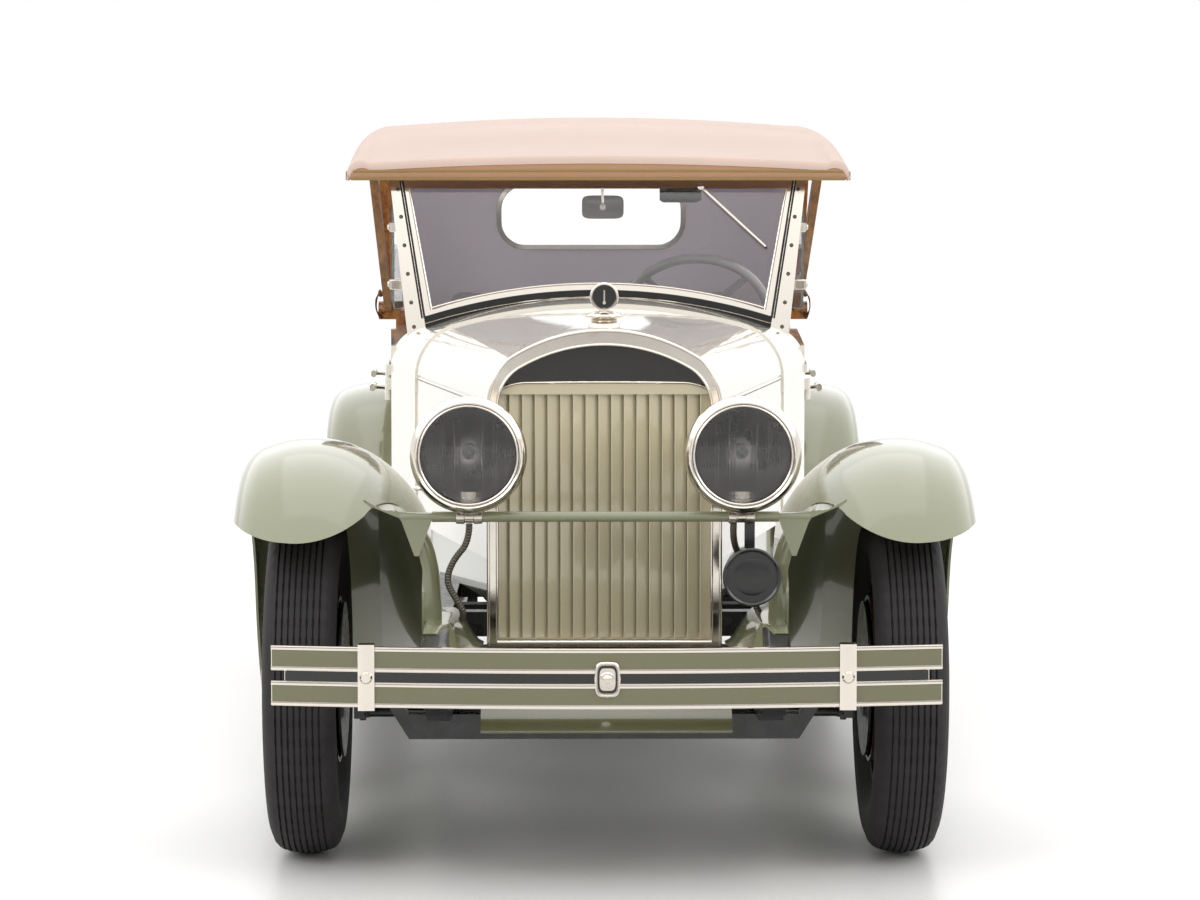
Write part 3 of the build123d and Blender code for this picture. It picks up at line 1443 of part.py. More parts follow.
with BuildPart() as steering_wheel:
    hub_plane = Plane(origin=column_head + column_line.normalized() * 1, x_dir=(1, 0, 0), z_dir=column_line)
    with BuildSketch(hub_plane):
        Circle(34)
    extrude(amount=56)
    with BuildSketch(hub_plane):
        Circle(11 + running_gap)
    extrude(amount=40, mode=Mode.SUBTRACT)
    with BuildSketch(hub_plane.offset(42)):
        with PolarLocations(112, 4, start_angle=45):
            Rectangle(216, 20)
        Circle(20)
    extrude(amount=10)
    rim_centre = hub_plane.from_local_coords((216, 0, 46))
    with BuildSketch(Plane(origin=rim_centre, x_dir=(1, 0, 0), z_dir=hub_plane.y_dir)):
        Circle(14)
    revolve(axis=Axis(hub_plane.origin, hub_plane.z_dir))
save(steering_wheel, "steering_wheel")

# Spare wheel upright behind the body, on the frame's carrier
spare_centre = (0, at(spare_s), spare_z)
save(make_tyre(spare_centre, (0, 1, 0)), "spare_tyre")
save(make_wheel(spare_centre, (0, 1, 0), with_drum=False), "spare_wheel")
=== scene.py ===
import math

import bmesh
import bpy
import numpy as np
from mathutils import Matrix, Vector


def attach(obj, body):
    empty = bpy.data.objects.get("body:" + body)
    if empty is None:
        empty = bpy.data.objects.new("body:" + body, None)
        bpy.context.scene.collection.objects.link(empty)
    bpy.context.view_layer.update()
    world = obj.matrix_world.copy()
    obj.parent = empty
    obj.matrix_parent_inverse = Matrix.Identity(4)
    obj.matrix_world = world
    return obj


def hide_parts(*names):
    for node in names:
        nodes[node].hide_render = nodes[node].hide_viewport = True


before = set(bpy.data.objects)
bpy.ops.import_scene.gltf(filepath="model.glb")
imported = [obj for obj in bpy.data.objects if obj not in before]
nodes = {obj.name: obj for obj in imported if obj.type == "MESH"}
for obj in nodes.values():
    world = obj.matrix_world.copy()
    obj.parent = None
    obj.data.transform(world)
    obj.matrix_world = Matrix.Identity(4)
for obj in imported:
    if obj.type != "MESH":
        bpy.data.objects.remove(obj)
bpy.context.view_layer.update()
frontAxleY = -1.809  # m, the row's own front axle
sides = (("left", 1), ("right", -1))
rearward, leftward, upward = (0, 1, 0), (1, 0, 0), (0, 0, 1)


def at(s):
    return frontAxleY + s / 1000  # s: mm behind the front axle


def hexColour(code):
    parts = [int(code[i:i + 2], 16) / 255 for i in (1, 3, 5)]
    return tuple(c / 12.92 if c <= 0.04045 else ((c + 0.055) / 1.055) ** 2.4 for c in parts) + (1.0,)


# Sets a node's inputs: a socket is linked, anything else is its value
def feed(tree, node, inputs):
    for socket, source in inputs.items():
        if isinstance(source, bpy.types.NodeSocket):
            tree.links.new(source, node.inputs[socket])
        else:
            node.inputs[socket].default_value = source


def addNode(tree, kind, inputs=None, **settings):
    node = tree.nodes.new(kind)
    for name, value in settings.items():
        setattr(node, name, value)
    feed(tree, node, inputs or {})
    return node


def newFinish(name, **sockets):
    material = bpy.data.materials.new(name)
    material.use_nodes = True
    tree = material.node_tree
    shader = tree.nodes["Principled BSDF"]
    feed(tree, shader, {socket.replace("_", " "): value for socket, value in sockets.items()})
    return material, tree, shader


def setStops(ramp, *stops):
    for element, (position, colour) in zip(ramp.color_ramp.elements, stops):
        element.position = position
        element.color = hexColour(colour)


def newObject(name, data):
    thing = bpy.data.objects.new(name, data)
    bpy.context.collection.objects.link(thing)
    return thing


print("stage: finishes")


# Nitrocellulose lacquer, sprayed and rubbed: a soft wet gloss with a faint orange peel and slight tone drift
def lacquer(name, colour, drift):
    material, tree, shader = newFinish(name, Roughness=0.22, Coat_Weight=1.0, Coat_Roughness=0.04, IOR=1.5)
    spot = addNode(tree, "ShaderNodeTexCoord").outputs["Object"]
    cloud = addNode(tree, "ShaderNodeTexNoise", {"Vector": spot, "Scale": 2.2, "Detail": 3.0}).outputs["Fac"]
    tone = addNode(tree, "ShaderNodeMix", {0: cloud, 6: hexColour(colour), 7: hexColour(drift)},
                   data_type="RGBA")
    peel = addNode(tree, "ShaderNodeTexNoise", {"Vector": spot, "Scale": 260.0, "Detail": 1.0})  # 4 mm peel
    bump = addNode(tree, "ShaderNodeBump", {"Height": peel.outputs["Fac"], "Strength": 0.03,
                                            "Distance": 0.001})
    feed(tree, shader, {"Base Color": tone.outputs[2], "Normal": bump.outputs["Normal"]})
    return material


# Plate, enamel or steel whose gloss is broken by fine wear: a noise carries the roughness between two values
def wornGloss(name, colour, metal, low, high, scale, coat=0.0):
    material, tree, shader = newFinish(name, Base_Color=hexColour(colour), Metallic=metal, Coat_Weight=coat)
    spot = addNode(tree, "ShaderNodeTexCoord").outputs["Object"]
    wear = addNode(tree, "ShaderNodeTexNoise", {"Vector": spot, "Scale": scale, "Detail": 5.0}).outputs["Fac"]
    spread = addNode(tree, "ShaderNodeMapRange", {"Value": wear, "From Min": 0.3, "From Max": 0.7,
                                                  "To Min": low, "To Max": high})
    bump = addNode(tree, "ShaderNodeBump", {"Height": wear, "Strength": 0.02, "Distance": 0.001})
    feed(tree, shader, {"Roughness": spread.outputs["Result"], "Normal": bump.outputs["Normal"]})
    return material


# Plain-weave canvas: threads over and under at 1.2 to 1.6 mm (real 0.8 mm, drawn coarser so that it shows)
def wovenCloth(name, colour, thread, pitch):
    material, tree, shader = newFinish(name, Roughness=0.85, Sheen_Weight=0.25, Sheen_Roughness=0.4)
    spot = addNode(tree, "ShaderNodeTexCoord").outputs["Object"]
    waves = {}
    for i, way in enumerate("XY"):
        wave = addNode(tree, "ShaderNodeTexWave", {"Vector": spot, "Scale": math.pi / pitch / 20,
                                                   "Distortion": 0.6, "Detail": 2.0, "Detail Scale": 3.0},
                       bands_direction=way)
        waves[i] = wave.outputs["Fac"]
    weave = addNode(tree, "ShaderNodeMath", waves, operation="MULTIPLY")
    cloud = addNode(tree, "ShaderNodeTexNoise", {"Vector": spot, "Scale": 3.5, "Detail": 5.0}).outputs["Fac"]
    tone = addNode(tree, "ShaderNodeMix", {0: cloud, 6: hexColour(colour), 7: hexColour(thread)},
                   data_type="RGBA")
    bump = addNode(tree, "ShaderNodeBump", {"Height": weave.outputs["Value"], "Strength": 0.35,
                                            "Distance": 0.0006})
    feed(tree, shader, {"Base Color": tone.outputs[2], "Normal": bump.outputs["Normal"]})
    return material


# Oiled hardwood: long growth rings drawn out along the piece, darker in the pores
def grainedWood(name, pale, dark, stretch):
    material, tree, shader = newFinish(name, Roughness=0.3, Coat_Weight=0.5, Coat_Roughness=0.12)
    spot = addNode(tree, "ShaderNodeTexCoord").outputs["Object"]
    turn = addNode(tree, "ShaderNodeMapping", {"Vector": spot, "Scale": stretch})
    rings = addNode(tree, "ShaderNodeTexNoise", {"Vector": turn.outputs["Vector"], "Scale": 40.0,
                                                 "Detail": 8.0, "Distortion": 0.8}).outputs["Fac"]
    ramp = addNode(tree, "ShaderNodeValToRGB", {"Fac": rings})
    setStops(ramp, (0.35, dark), (0.62, pale))
    bump = addNode(tree, "ShaderNodeBump", {"Height": rings, "Strength": 0.1, "Distance": 0.0005})
    feed(tree, shader, {"Base Color": ramp.outputs["Color"], "Normal": bump.outputs["Normal"]})
    return material


# Vat-dyed hide: a low sheen over pebbled cells of 3 to 4 mm (real 2 mm, drawn coarser so that they show)
def pebbledHide(name, colour, creaseShade, cell):
    material, tree, shader = newFinish(name, Roughness=0.5, Specular_IOR_Level=0.4)
    spot = addNode(tree, "ShaderNodeTexCoord").outputs["Object"]
    cells = addNode(tree, "ShaderNodeTexVoronoi", {"Vector": spot, "Scale": 1 / cell},
                    feature="DISTANCE_TO_EDGE")
    far = cells.outputs["Distance"]
    # The creases between the cells are painted darker: painted shade
    ramp = addNode(tree, "ShaderNodeValToRGB", {"Fac": far})
    setStops(ramp, (0.0, creaseShade), (0.25, colour))
    bump = addNode(tree, "ShaderNodeBump", {"Height": far, "Strength": 0.3, "Distance": 0.0008})
    feed(tree, shader, {"Base Color": ramp.outputs["Color"], "Normal": bump.outputs["Normal"]})
    return material


# Moulded rubber: dull black that greys on rubbed faces, with a fine mould grain
def mouldedRubber(name, colour, rubbed, low, high):
    material, tree, shader = newFinish(name, Specular_IOR_Level=0.35)
    spot = addNode(tree, "ShaderNodeTexCoord").outputs["Object"]
    dust = addNode(tree, "ShaderNodeTexNoise", {"Vector": spot, "Scale": 14.0, "Detail": 6.0}).outputs["Fac"]
    ramp = addNode(tree, "ShaderNodeValToRGB", {"Fac": dust})
    setStops(ramp, (0.3, colour), (0.8, rubbed))
    spread = addNode(tree, "ShaderNodeMapRange", {"Value": dust, "To Min": low, "To Max": high})
    grain = addNode(tree, "ShaderNodeTexNoise", {"Vector": spot, "Scale": 500.0, "Detail": 2.0})
    bump = addNode(tree, "ShaderNodeBump", {"Height": grain.outputs["Fac"], "Strength": 0.12,
                                            "Distance": 0.0006})
    feed(tree, shader, {"Base Color": ramp.outputs["Color"], "Roughness": spread.outputs["Result"],
                        "Normal": bump.outputs["Normal"]})
    return material


# Polished plate glass: clear, with its tint only in the thickness
def plateGlass(name, colour, rough):
    return newFinish(name, Base_Color=hexColour(colour), Roughness=rough, IOR=1.5, Transmission_Weight=1.0)[0]


creamLacquer = lacquer("creamLacquer", "#efeae0", "#e8e2d5")
sageLacquer = lacquer("sageLacquer", "#86886a", "#7e8162")
khakiEnamel = lacquer("khakiEnamel", "#c9c0a2", "#bfb597")
# Olive of the bumper stripes; the splash pan wears it too, partly its own paint and partly painted shade from
# the bumper above
oliveStripeAndPanShade = lacquer("oliveStripeAndPanShade", "#65633f", "#5d5b3a")
nickelPlate = wornGloss("nickelPlate", "#d9d2c8", 1.0, 0.06, 0.16, 30.0)  # warm mirror
nickelSatin = wornGloss("nickelSatin", "#cfc8bd", 1.0, 0.2, 0.32, 60.0)  # the same plate, rubbed dull
blackEnamel = wornGloss("blackEnamel", "#111111", 0.0, 0.22, 0.4, 25.0, coat=0.3)  # stoved, half gloss
# The radiator's nickel crown band, painted dark: painted reflection of the shade below it
crownDarkReflection = wornGloss("crownDarkReflection", "#2a2724", 0.6, 0.08, 0.18, 25.0, coat=0.6)  # dark and wet
castIron = wornGloss("castIron", "#3a3c3a", 0.5, 0.55, 0.75, 90.0)  # sand-cast, dull grey
tyreRubber = mouldedRubber("tyreRubber", "#1d1b1b", "#2c292a", 0.62, 0.82)
boardRubber = mouldedRubber("boardRubber", "#2a2a29", "#3a3a38", 0.6, 0.8)
blackGasket = mouldedRubber("blackGasket", "#0c0c0c", "#191919", 0.45, 0.6)
tanCanvas = wovenCloth("tanCanvas", "#d4bdb1", "#cbb2a5", 0.0016)
tanBinding = wovenCloth("tanBinding", "#b58e70", "#a88061", 0.0012)
# The lining is painted far lighter than its grey cloth: painted light for the dim inside of the top
paintedLightLining = wovenCloth("paintedLightLining", "#ece2ec", "#e4d9e4", 0.0012)
tanWelt = wovenCloth("tanWelt", "#9a8150", "#8b7345", 0.0012)
darkSpoke = grainedWood("darkSpoke", "#3b2a20", "#22170f", (1.0, 1.0, 0.12))
ashBow = grainedWood("ashBow", "#b0712f", "#7d4718", (1.0, 0.1, 1.0))
floorMat = mouldedRubber("floorMat", "#3a3733", "#494540", 0.7, 0.85)
greyHide = pebbledHide("greyHide", "#8e8a88", "#6d6967", 0.004)
strapHide = pebbledHide("strapHide", "#7a4a22", "#4d2c12", 0.003)
clearGlass = plateGlass("clearGlass", "#ffffff", 0.0)
lensGlass = plateGlass("lensGlass", "#f6f8f6", 0.02)  # pressed, so a little soft
rubyGlass = plateGlass("rubyGlass", "#8a0f10", 0.05)  # deep red where it is thick
groundEdge = plateGlass("groundEdge", "#dfeae5", 0.5)  # a plate's ground edge, pale and frosted
greyRim = wornGloss("greyRim", "#8b8587", 0.0, 0.25, 0.4, 20.0, coat=0.4)  # hard rubber, handled smooth
dullSilver = wornGloss("dullSilver", "#968d8e", 1.0, 0.24, 0.36, 18.0)  # tarnished reflector
# Mirror silver painted dark: painted reflection of the dim cabin it faces
dimCabinReflection = wornGloss("dimCabinReflection", "#4a4644", 1.0, 0.12, 0.2, 20.0)  # mirror that faces a dim cabin
conduitSteel = wornGloss("conduitSteel", "#5a554b", 0.8, 0.3, 0.45, 80.0)  # wound strip, oiled

coats = [  # finish, the CAD nodes that wear it
    (blackEnamel, "chassis_frame front_axle_beam leaf_springs rear_axle_housing fuel_tank horn tie_rod "
                  "steering_column knuckle_left knuckle_right"),
    (nickelPlate, "radiator_shell radiator_cap front_bumper_bars front_bumper_irons rear_bumper tail_lamps "
                  "headlamp_shells windshield_frame"),
    (sageLacquer, "front_fenders rear_fenders sill_aprons lamp_bar"),
    (creamLacquer, "cowl body_tub instrument_panel"),
    (clearGlass, "windshield_glass wind_wings rear_window"),
    (greyHide, "front_seat rear_seat"), (tanCanvas, "top_roof back_curtain"),
    (castIron, "engine_block"), (crownDarkReflection, "radiator_crown_panel"), (khakiEnamel, "radiator_shutters"),
    # the splash pan's darker olive is partly painted shade from the bumper above
    (oliveStripeAndPanShade, "front_splash_pan"), (boardRubber, "running_boards"), (floorMat, "floor_pan"),
    (lensGlass, "headlamp_lenses"), (ashBow, "top_bows"), (greyRim, "steering_wheel"),
    (tyreRubber, "spare_tyre"), (darkSpoke, "spare_wheel"),
]
for side, hand in sides:
    coats += [(creamLacquer, f"hood_top_{side} hood_side_{side} door_front_{side} door_rear_{side}"),
              (tyreRubber, f"tyre_front_{side} tyre_rear_{side}"),
              (darkSpoke, f"wheel_front_{side} wheel_rear_{side}")]
for finish, names in coats:
    for name in names.split():
        mesh = nodes[name].data
        mesh.materials.clear()
        mesh.materials.append(finish)

print("stage: camera and light")
view = {"lens": 107.7, "sensor": 36.0, "height": 1.6, "back": 8.6, "side": -0.103, "pitch": 4.18, "yaw": 0.62}
cameraData = bpy.data.cameras.new("photoCamera")
cameraData.sensor_fit = "HORIZONTAL"
cameraData.sensor_width = view["sensor"]
cameraData.lens = view["lens"]
cameraData.clip_end = 200.0
camera = newObject("photoCamera", cameraData)
camera.location = (view["side"], frontAxleY - view["back"], view["height"])
camera.rotation_euler = (math.radians(90 - view["pitch"]), 0.0, math.radians(-view["yaw"]))
bpy.context.scene.camera = camera

world = bpy.data.worlds.new("studioAir")
bpy.context.scene.world = world
world.use_nodes = True
# a white cove behind the car, a darker room in front of it, and the lit ceiling that polish shows
studio = {"paper": 1.0, "white": 1.15, "dim": 0.5, "ceiling": 1.15, "panel": 2.0}
air = world.node_tree
air.nodes.clear()
look = addNode(air, "ShaderNodeTexCoord").outputs["Generated"]
split = addNode(air, "ShaderNodeSeparateXYZ", {"Vector": look}).outputs
behind = addNode(air, "ShaderNodeMapRange", {"Value": split["Y"], "From Min": -0.75, "From Max": 0.1,
                                             "To Min": studio["dim"], "To Max": studio["white"]})
glows = []
for low, high, strength in ((0.25, 0.8, studio["ceiling"]), (0.1, 0.32, studio["panel"])):
    above = addNode(air, "ShaderNodeMapRange", {"Value": split["Z"], "From Min": low, "From Max": high,
                                                "To Min": 0.0, "To Max": strength})
    glow = addNode(air, "ShaderNodeMath", {0: behind.outputs["Result"], 1: above.outputs["Result"]},
                   operation="MAXIMUM")
    glows.append(glow.outputs["Value"])
rays = addNode(air, "ShaderNodeLightPath").outputs
seen = addNode(air, "ShaderNodeMix", {0: rays["Is Glossy Ray"], 2: glows[0], 3: glows[1]}).outputs[0]
room = addNode(air, "ShaderNodeBackground", {"Color": hexColour("#ffffff"), "Strength": seen})
paper = addNode(air, "ShaderNodeBackground", {"Color": hexColour("#ffffff"), "Strength": studio["paper"]})
mixed = addNode(air, "ShaderNodeMixShader", {0: rays["Is Camera Ray"], 1: room.outputs[0],
                                             2: paper.outputs[0]})
addNode(air, "ShaderNodeOutputWorld", {"Surface": mixed.outputs[0]})
bpy.context.scene.view_settings.view_transform = "Standard"

softLights = (  # place, aim, width, height, power
    ((-5.5, -7.5, 5.0), (0, -1, 0.7), 4.0, 4.0, 168),
    ((5.5, -6.5, 5.0), (0, -1, 0.7), 4.0, 4.0, 132),
    ((0.0, 0.5, 6.5), (0, 0, 0.8), 5.0, 7.0, 60),
)
for i, (place, aim, width, height, power) in enumerate(softLights):
    lightData = bpy.data.lights.new(f"softBox{i}", "AREA")
    lightData.shape = "RECTANGLE"
    lightData.size, lightData.size_y, lightData.energy = width, height, power
    light = newObject(f"softBox{i}", lightData)
    light.location = place
    light.rotation_euler = (Vector(aim) - Vector(place)).to_track_quat("-Z", "Y").to_euler()

floorMesh = bpy.data.meshes.new("paleFloor")
floorMesh.from_pydata([(-40, -30, 0), (40, -30, 0), (40, 60, 0), (-40, 60, 0)], [], [(0, 1, 2, 3)])
paleFloor = newObject("paleFloor", floorMesh)
floorMesh.materials.append(newFinish("paleFloor", Base_Color=hexColour("#f4f3f1"), Roughness=0.35)[0])

print("stage: shape helpers")


def cleanMesh(name, vertices, faces):
    mesh = bpy.data.meshes.new(name)
    mesh.from_pydata([tuple(v) for v in vertices], [], faces)
    form = bmesh.new()
    form.from_mesh(mesh)
    bmesh.ops.remove_doubles(form, verts=form.verts, dist=1e-6)
    bmesh.ops.recalc_face_normals(form, faces=form.faces)
    form.to_mesh(mesh)
    form.free()
    return mesh


def finishPiece(name, mesh, finish, smooth, body="chassis"):
    if finish is not None:
        mesh.materials.clear()
        mesh.materials.append(finish)
    piece = newObject(name, mesh)
    if smooth:
        mesh.shade_smooth()
        mesh.set_sharp_from_angle(angle=math.radians(smooth))
    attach(piece, body)
    return piece


# smooth: degrees past which an edge stays sharp, 0 for flat faces
def putPiece(name, shape, finish, smooth, body="chassis"):
    return finishPiece(name, cleanMesh(name, *shape), finish, smooth, body)


# What an object's modifiers make of it, as a plain mesh
def applied(holder):
    graph = bpy.context.evaluated_depsgraph_get()
    made = bpy.data.meshes.new_from_object(holder.evaluated_get(graph))
    holder.modifiers.clear()
    bpy.data.objects.remove(holder)
    return made


def reading(value, stations, values):
    return float(np.interp(value, stations, values))


# Radius of the arc that rises by rise over a half chord
def arcRadius(half, rise):
    return (half ** 2 + rise ** 2) / (2 * rise)


# Faces between rows of points: wrapped joins a row's ends, ringed joins the last row to the first
def gridFaces(rows, count, wrapped=True, ringed=False):
    faces = []
    for i in range(rows if ringed else rows - 1):
        far = (i + 1) % rows
        for j in range(count if wrapped else count - 1):
            k = (j + 1) % count
            faces.append((i * count + j, i * count + k, far * count + k, far * count + j))
    return faces


# A tube through closed rows of points, capped at both ends
def tubed(rows):
    count, last = len(rows[0]), len(rows) - 1
    caps = [tuple(range(count)), tuple(last * count + j for j in reversed(range(count)))]
    return [p for row in rows for p in row], gridFaces(len(rows), count) + caps


# Turns profiles of (along, radius) pairs about an axis, one for each step of the turn
def swept(profiles, centre, axis, closed=False, start=0.0):
    along = Vector(axis).normalized()
    across = along.orthogonal().normalized()
    third = along.cross(across)
    vertices = []
    for k, profile in enumerate(profiles):
        angle = start + 2 * math.pi * k / len(profiles)
        spoke = across * math.cos(angle) + third * math.sin(angle)
        vertices += [Vector(centre) + along * a + spoke * r for a, r in profile]
    return vertices, gridFaces(len(profiles), len(profiles[0]), closed, True)


def turned(profile, centre, segments, axis=rearward, closed=False, start=0.0):
    return swept([profile] * segments, centre, axis, closed, start)


# Carries a closed section of (side, up) pairs along a list of points
def carried(points, section, up=upward):
    points = [Vector(p) for p in points]
    rows = []
    for i, p in enumerate(points):
        ahead = (points[min(i + 1, len(points) - 1)] - points[max(i - 1, 0)]).normalized()
        beside = ahead.cross(Vector(up)).normalized()
        above = beside.cross(ahead).normalized()
        rows.append([p + beside * a + above * b for a, b in section])
    return tubed(rows)


def roundSection(radius, steps):
    angles = [2 * math.pi * k / steps for k in range(steps)]
    return [(radius * math.cos(angle), radius * math.sin(angle)) for angle in angles]


def boxSection(width, height, corner=0.0):
    w, h, c = width / 2, height / 2, corner
    if not c:
        return [(-w, -h), (w, -h), (w, h), (-w, h)]
    return [(c - w, -h), (w - c, -h), (w, c - h), (w, h - c),
            (w - c, h), (c - w, h), (-w, h - c), (-w, c - h)]


def joined(*shapes):
    vertices, faces = [], []
    for v, f in shapes:
        base = len(vertices)
        vertices += list(v)
        faces += [tuple(i + base for i in face) for face in f]
    return vertices, faces


# A closed shell from two grids of points, stitched round their rims
def shelled(front, back):
    rows, count = len(front), len(front[0])
    size = rows * count
    faces = []
    for face in gridFaces(rows, count, False):
        faces += [face, tuple(size + k for k in reversed(face))]
    rim = list(range(count)) + [i * count + count - 1 for i in range(1, rows)]
    rim += [(rows - 1) * count + j for j in range(count - 2, -1, -1)]
    rim += [i * count for i in range(rows - 2, 0, -1)]
    faces += [(a, size + a, size + b, b) for a, b in zip(rim, rim[1:] + rim[:1])]
    return [p for grid in (front, back) for row in grid for p in row], faces


# A sheet from rows of points, its wall set off by a vector
def plated(rows, wall):
    return shelled(rows, [[Vector(p) + Vector(wall) for p in row] for row in rows])


def roundedRect(width, height, radius, steps=10):
    points = []
    for quarter, (across, up) in enumerate(((1, 1), (-1, 1), (-1, -1), (1, -1))):
        for k in range(steps + 1):
            angle = math.radians(90 * quarter + 90 * k / steps)
            points.append((across * (width / 2 - radius) + radius * math.cos(angle),
                           up * (height / 2 - radius) + radius * math.sin(angle)))
    return points


# Outline of a plate between an oval and a box: the smaller the powers, the squarer
def squaredOval(half, tall, power, tallPower):
    return [(math.copysign(abs(c) ** power, c) * half, math.copysign(abs(s) ** tallPower, s) * tall)
            for c, s in roundSection(1.0, 48)]


# A tree that sets one shape on every point, makes it real and gives it its finish
def spreadTree(label, inputs, shapeOf):
    tree = bpy.data.node_groups.new(label, "GeometryNodeTree")
    for name, kind, value in (("Points", "Geometry", None), *inputs, ("Finish", "Material", None)):
        socket = tree.interface.new_socket(name, in_out="INPUT", socket_type="NodeSocket" + kind)
        if value is not None:
            socket.default_value = value
    tree.interface.new_socket("Pieces", in_out="OUTPUT", socket_type="NodeSocketGeometry")
    given = addNode(tree, "NodeGroupInput").outputs
    shape = shapeOf(tree, given)
    spread = addNode(tree, "GeometryNodeInstanceOnPoints", {"Points": given["Points"], **shape})
    real = addNode(tree, "GeometryNodeRealizeInstances", {"Geometry": spread.outputs["Instances"]})
    coat = addNode(tree, "GeometryNodeSetMaterial", {"Geometry": real.outputs["Geometry"],
                                                     "Material": given["Finish"]})
    addNode(tree, "NodeGroupOutput", {"Pieces": coat.outputs["Geometry"]})
    return tree


# A domed head, turned to the point's own direction
def headShape(tree, given):
    top = addNode(tree, "ShaderNodeMath", {0: given["Head Radius"], 1: 0.72}, operation="MULTIPLY")
    head = addNode(tree, "GeometryNodeMeshCone", {"Vertices": given["Sides"], "Radius Top": top.outputs[0],
                                                  "Radius Bottom": given["Head Radius"],
                                                  "Depth": given["Head Height"]})
    aim = addNode(tree, "GeometryNodeInputNamedAttribute", {"Name": "aim"}, data_type="FLOAT_VECTOR")
    turn = addNode(tree, "FunctionNodeAlignEulerToVector", {"Vector": aim.outputs["Attribute"]}, axis="Z")
    return {"Instance": head.outputs["Mesh"], "Rotation": turn.outputs["Rotation"]}


def copyShape(tree, given):
    shape = addNode(tree, "GeometryNodeObjectInfo", {"Object": given["Shape"]})
    return {"Instance": shape.outputs["Geometry"], "Scale": given["Size"]}


headSizes = (("Head Radius", "Float", 0.006), ("Head Height", "Float", 0.004), ("Sides", "Int", 12))
headsOnPoints = spreadTree("headsOnPoints", headSizes, headShape)
copiesOnPoints = spreadTree("copiesOnPoints", (("Shape", "Object", None), ("Size", "Float", 1.0)), copyShape)


# Runs a tree over points, which may have directions, and gives back the plain mesh
def grown(name, tree, places, aims, values):
    mesh = bpy.data.meshes.new(name + "Points")
    mesh.from_pydata([tuple(p) for p in places], [], [])
    if aims:
        aimed = mesh.attributes.new("aim", "FLOAT_VECTOR", "POINT")
        for spot, aim in zip(aimed.data, aims):
            spot.vector = Vector(aim).normalized()
    maker = newObject(name + "Maker", mesh)
    modifier = maker.modifiers.new("grown", "NODES")
    modifier.node_group = tree
    for item in tree.interface.items_tree:
        if item.name in values:
            modifier[item.identifier] = values[item.name]
    made = applied(maker)
    made.name = name
    return made


def putHeads(name, places, aims, radius, height, finish, facets, body="chassis"):
    values = {"Head Radius": radius, "Head Height": height, "Sides": facets, "Finish": finish}
    return finishPiece(name, grown(name, headsOnPoints, places, aims, values), finish, 40, body)


def putCopies(name, part, places, finish, smooth, body="chassis"):
    shape = newObject(name + "Shape", cleanMesh(name + "Shape", *part))
    made = grown(name, copiesOnPoints, places, (), {"Shape": shape, "Size": 1.0, "Finish": finish})
    bpy.data.objects.remove(shape)
    return finishPiece(name, made, finish, smooth, body)


print("stage: tyres and wheels")
treadTyre = {"radius": 0.419, "clear": 0.0005, "shoulder": 0.064, "shoulderRadius": 0.405, "bulge": 0.025,
             "halfWidth": 0.0855, "beadRadius": 0.267, "bead": 0.056, "ribs": 9, "groove": 0.0032,
             "depth": 0.006, "bevel": 0.0016, "bevelDrop": 0.0006, "ring": 0.0012, "nick": 0.0035,
             "nicks": 56}


# Points of (along, radius, 1 on a rib's edge), over the tread and down both walls
def tyreProfile(size):
    profile, wall = [], []
    edge, high = size["shoulder"], size["shoulderRadius"]
    top = size["radius"] - size["clear"]
    pitch = 2 * edge / size["ribs"]

    def crown(a):
        return high + (top - high) * (1 - (a / edge) ** 2)

    for k in range(size["ribs"]):
        first, last = k == 0, k == size["ribs"] - 1
        left = k * pitch - edge + (0 if first else size["groove"] / 2)
        right = (k + 1) * pitch - edge - (0 if last else size["groove"] / 2)
        if not first:
            profile.append((left, crown(left) - size["depth"], 0))
        profile += [(left, crown(left) - size["bevelDrop"], 1), (left + size["bevel"], crown(left), 0),
                    (right - size["bevel"], crown(right), 0), (right, crown(right) - size["bevelDrop"], 1)]
        if not last:
            profile.append((right, crown(right) - size["depth"], 0))
    for k in range(1, 13):
        share = k / 12
        swell = size["bulge"] * math.sin(math.pi * min(1, share * 0.94 + 0.06))
        ring = size["ring"] if k in (3, 8) else 0.0  # moulded rings on the side wall
        a = edge + (size["bead"] - edge) * share + swell + ring
        wall.append((min(a, size["halfWidth"]), high + (size["beadRadius"] - high) * share, 0))
    return profile + wall + [(-a, r, 0) for a, r, onEdge in reversed(wall)]


def putTyre(name, centre, axis, body, node):
    profile = tyreProfile(treadTyre)
    plain = [(a, r) for a, r, onEdge in profile]
    # every fourth step has cut nicks along the rib edges
    nicked = [(a, r - treadTyre["nick"] * onEdge) for a, r, onEdge in profile]
    turns = ([nicked] + [plain] * 3) * treadTyre["nicks"]
    piece = putPiece(name, swept(turns, centre, axis, True), tyreRubber, 30, body)
    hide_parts(node)


wheelTrim = {
    "halfTrack": 0.711, "hubZ": 0.419, "wheelbase": 3353, "spare": (0.0, at(4120), 0.78),
    "rim": [(-0.0306, 0.2427), (-0.0306, 0.2461), (-0.0566, 0.2461), (-0.0566, 0.2727), (-0.0556, 0.2752),
            (-0.05, 0.2665)],
    "cap": [(0.0602, 0.062), (0.0612, 0.058), (0.0615, 0.044), (0.066, 0.0413), (0.098, 0.041),
            (0.108, 0.0355), (0.1135, 0.027), (0.1141, 0.012), (0.1144, 0.0)],
    "bolts": 12, "boltRing": (0.0175, 0.088), "boltStart": 0.26, "boltHead": (0.0075, 0.006),
}
wheels = []
for end, s in (("front", 0), ("rear", wheelTrim["wheelbase"])):
    for side, hand in sides:
        centre = (hand * wheelTrim["halfTrack"], at(s), wheelTrim["hubZ"])
        corner = f"{end}_{side}"
        wheels.append((corner, centre, (hand, 0, 0), f"road_wheel_{corner}", f"tyre_{corner}"))
wheels.append(("spare", wheelTrim["spare"], rearward, "chassis", "spare_tyre"))
rimProfile = wheelTrim["rim"] + [(-a, r) for a, r in reversed(wheelTrim["rim"])]
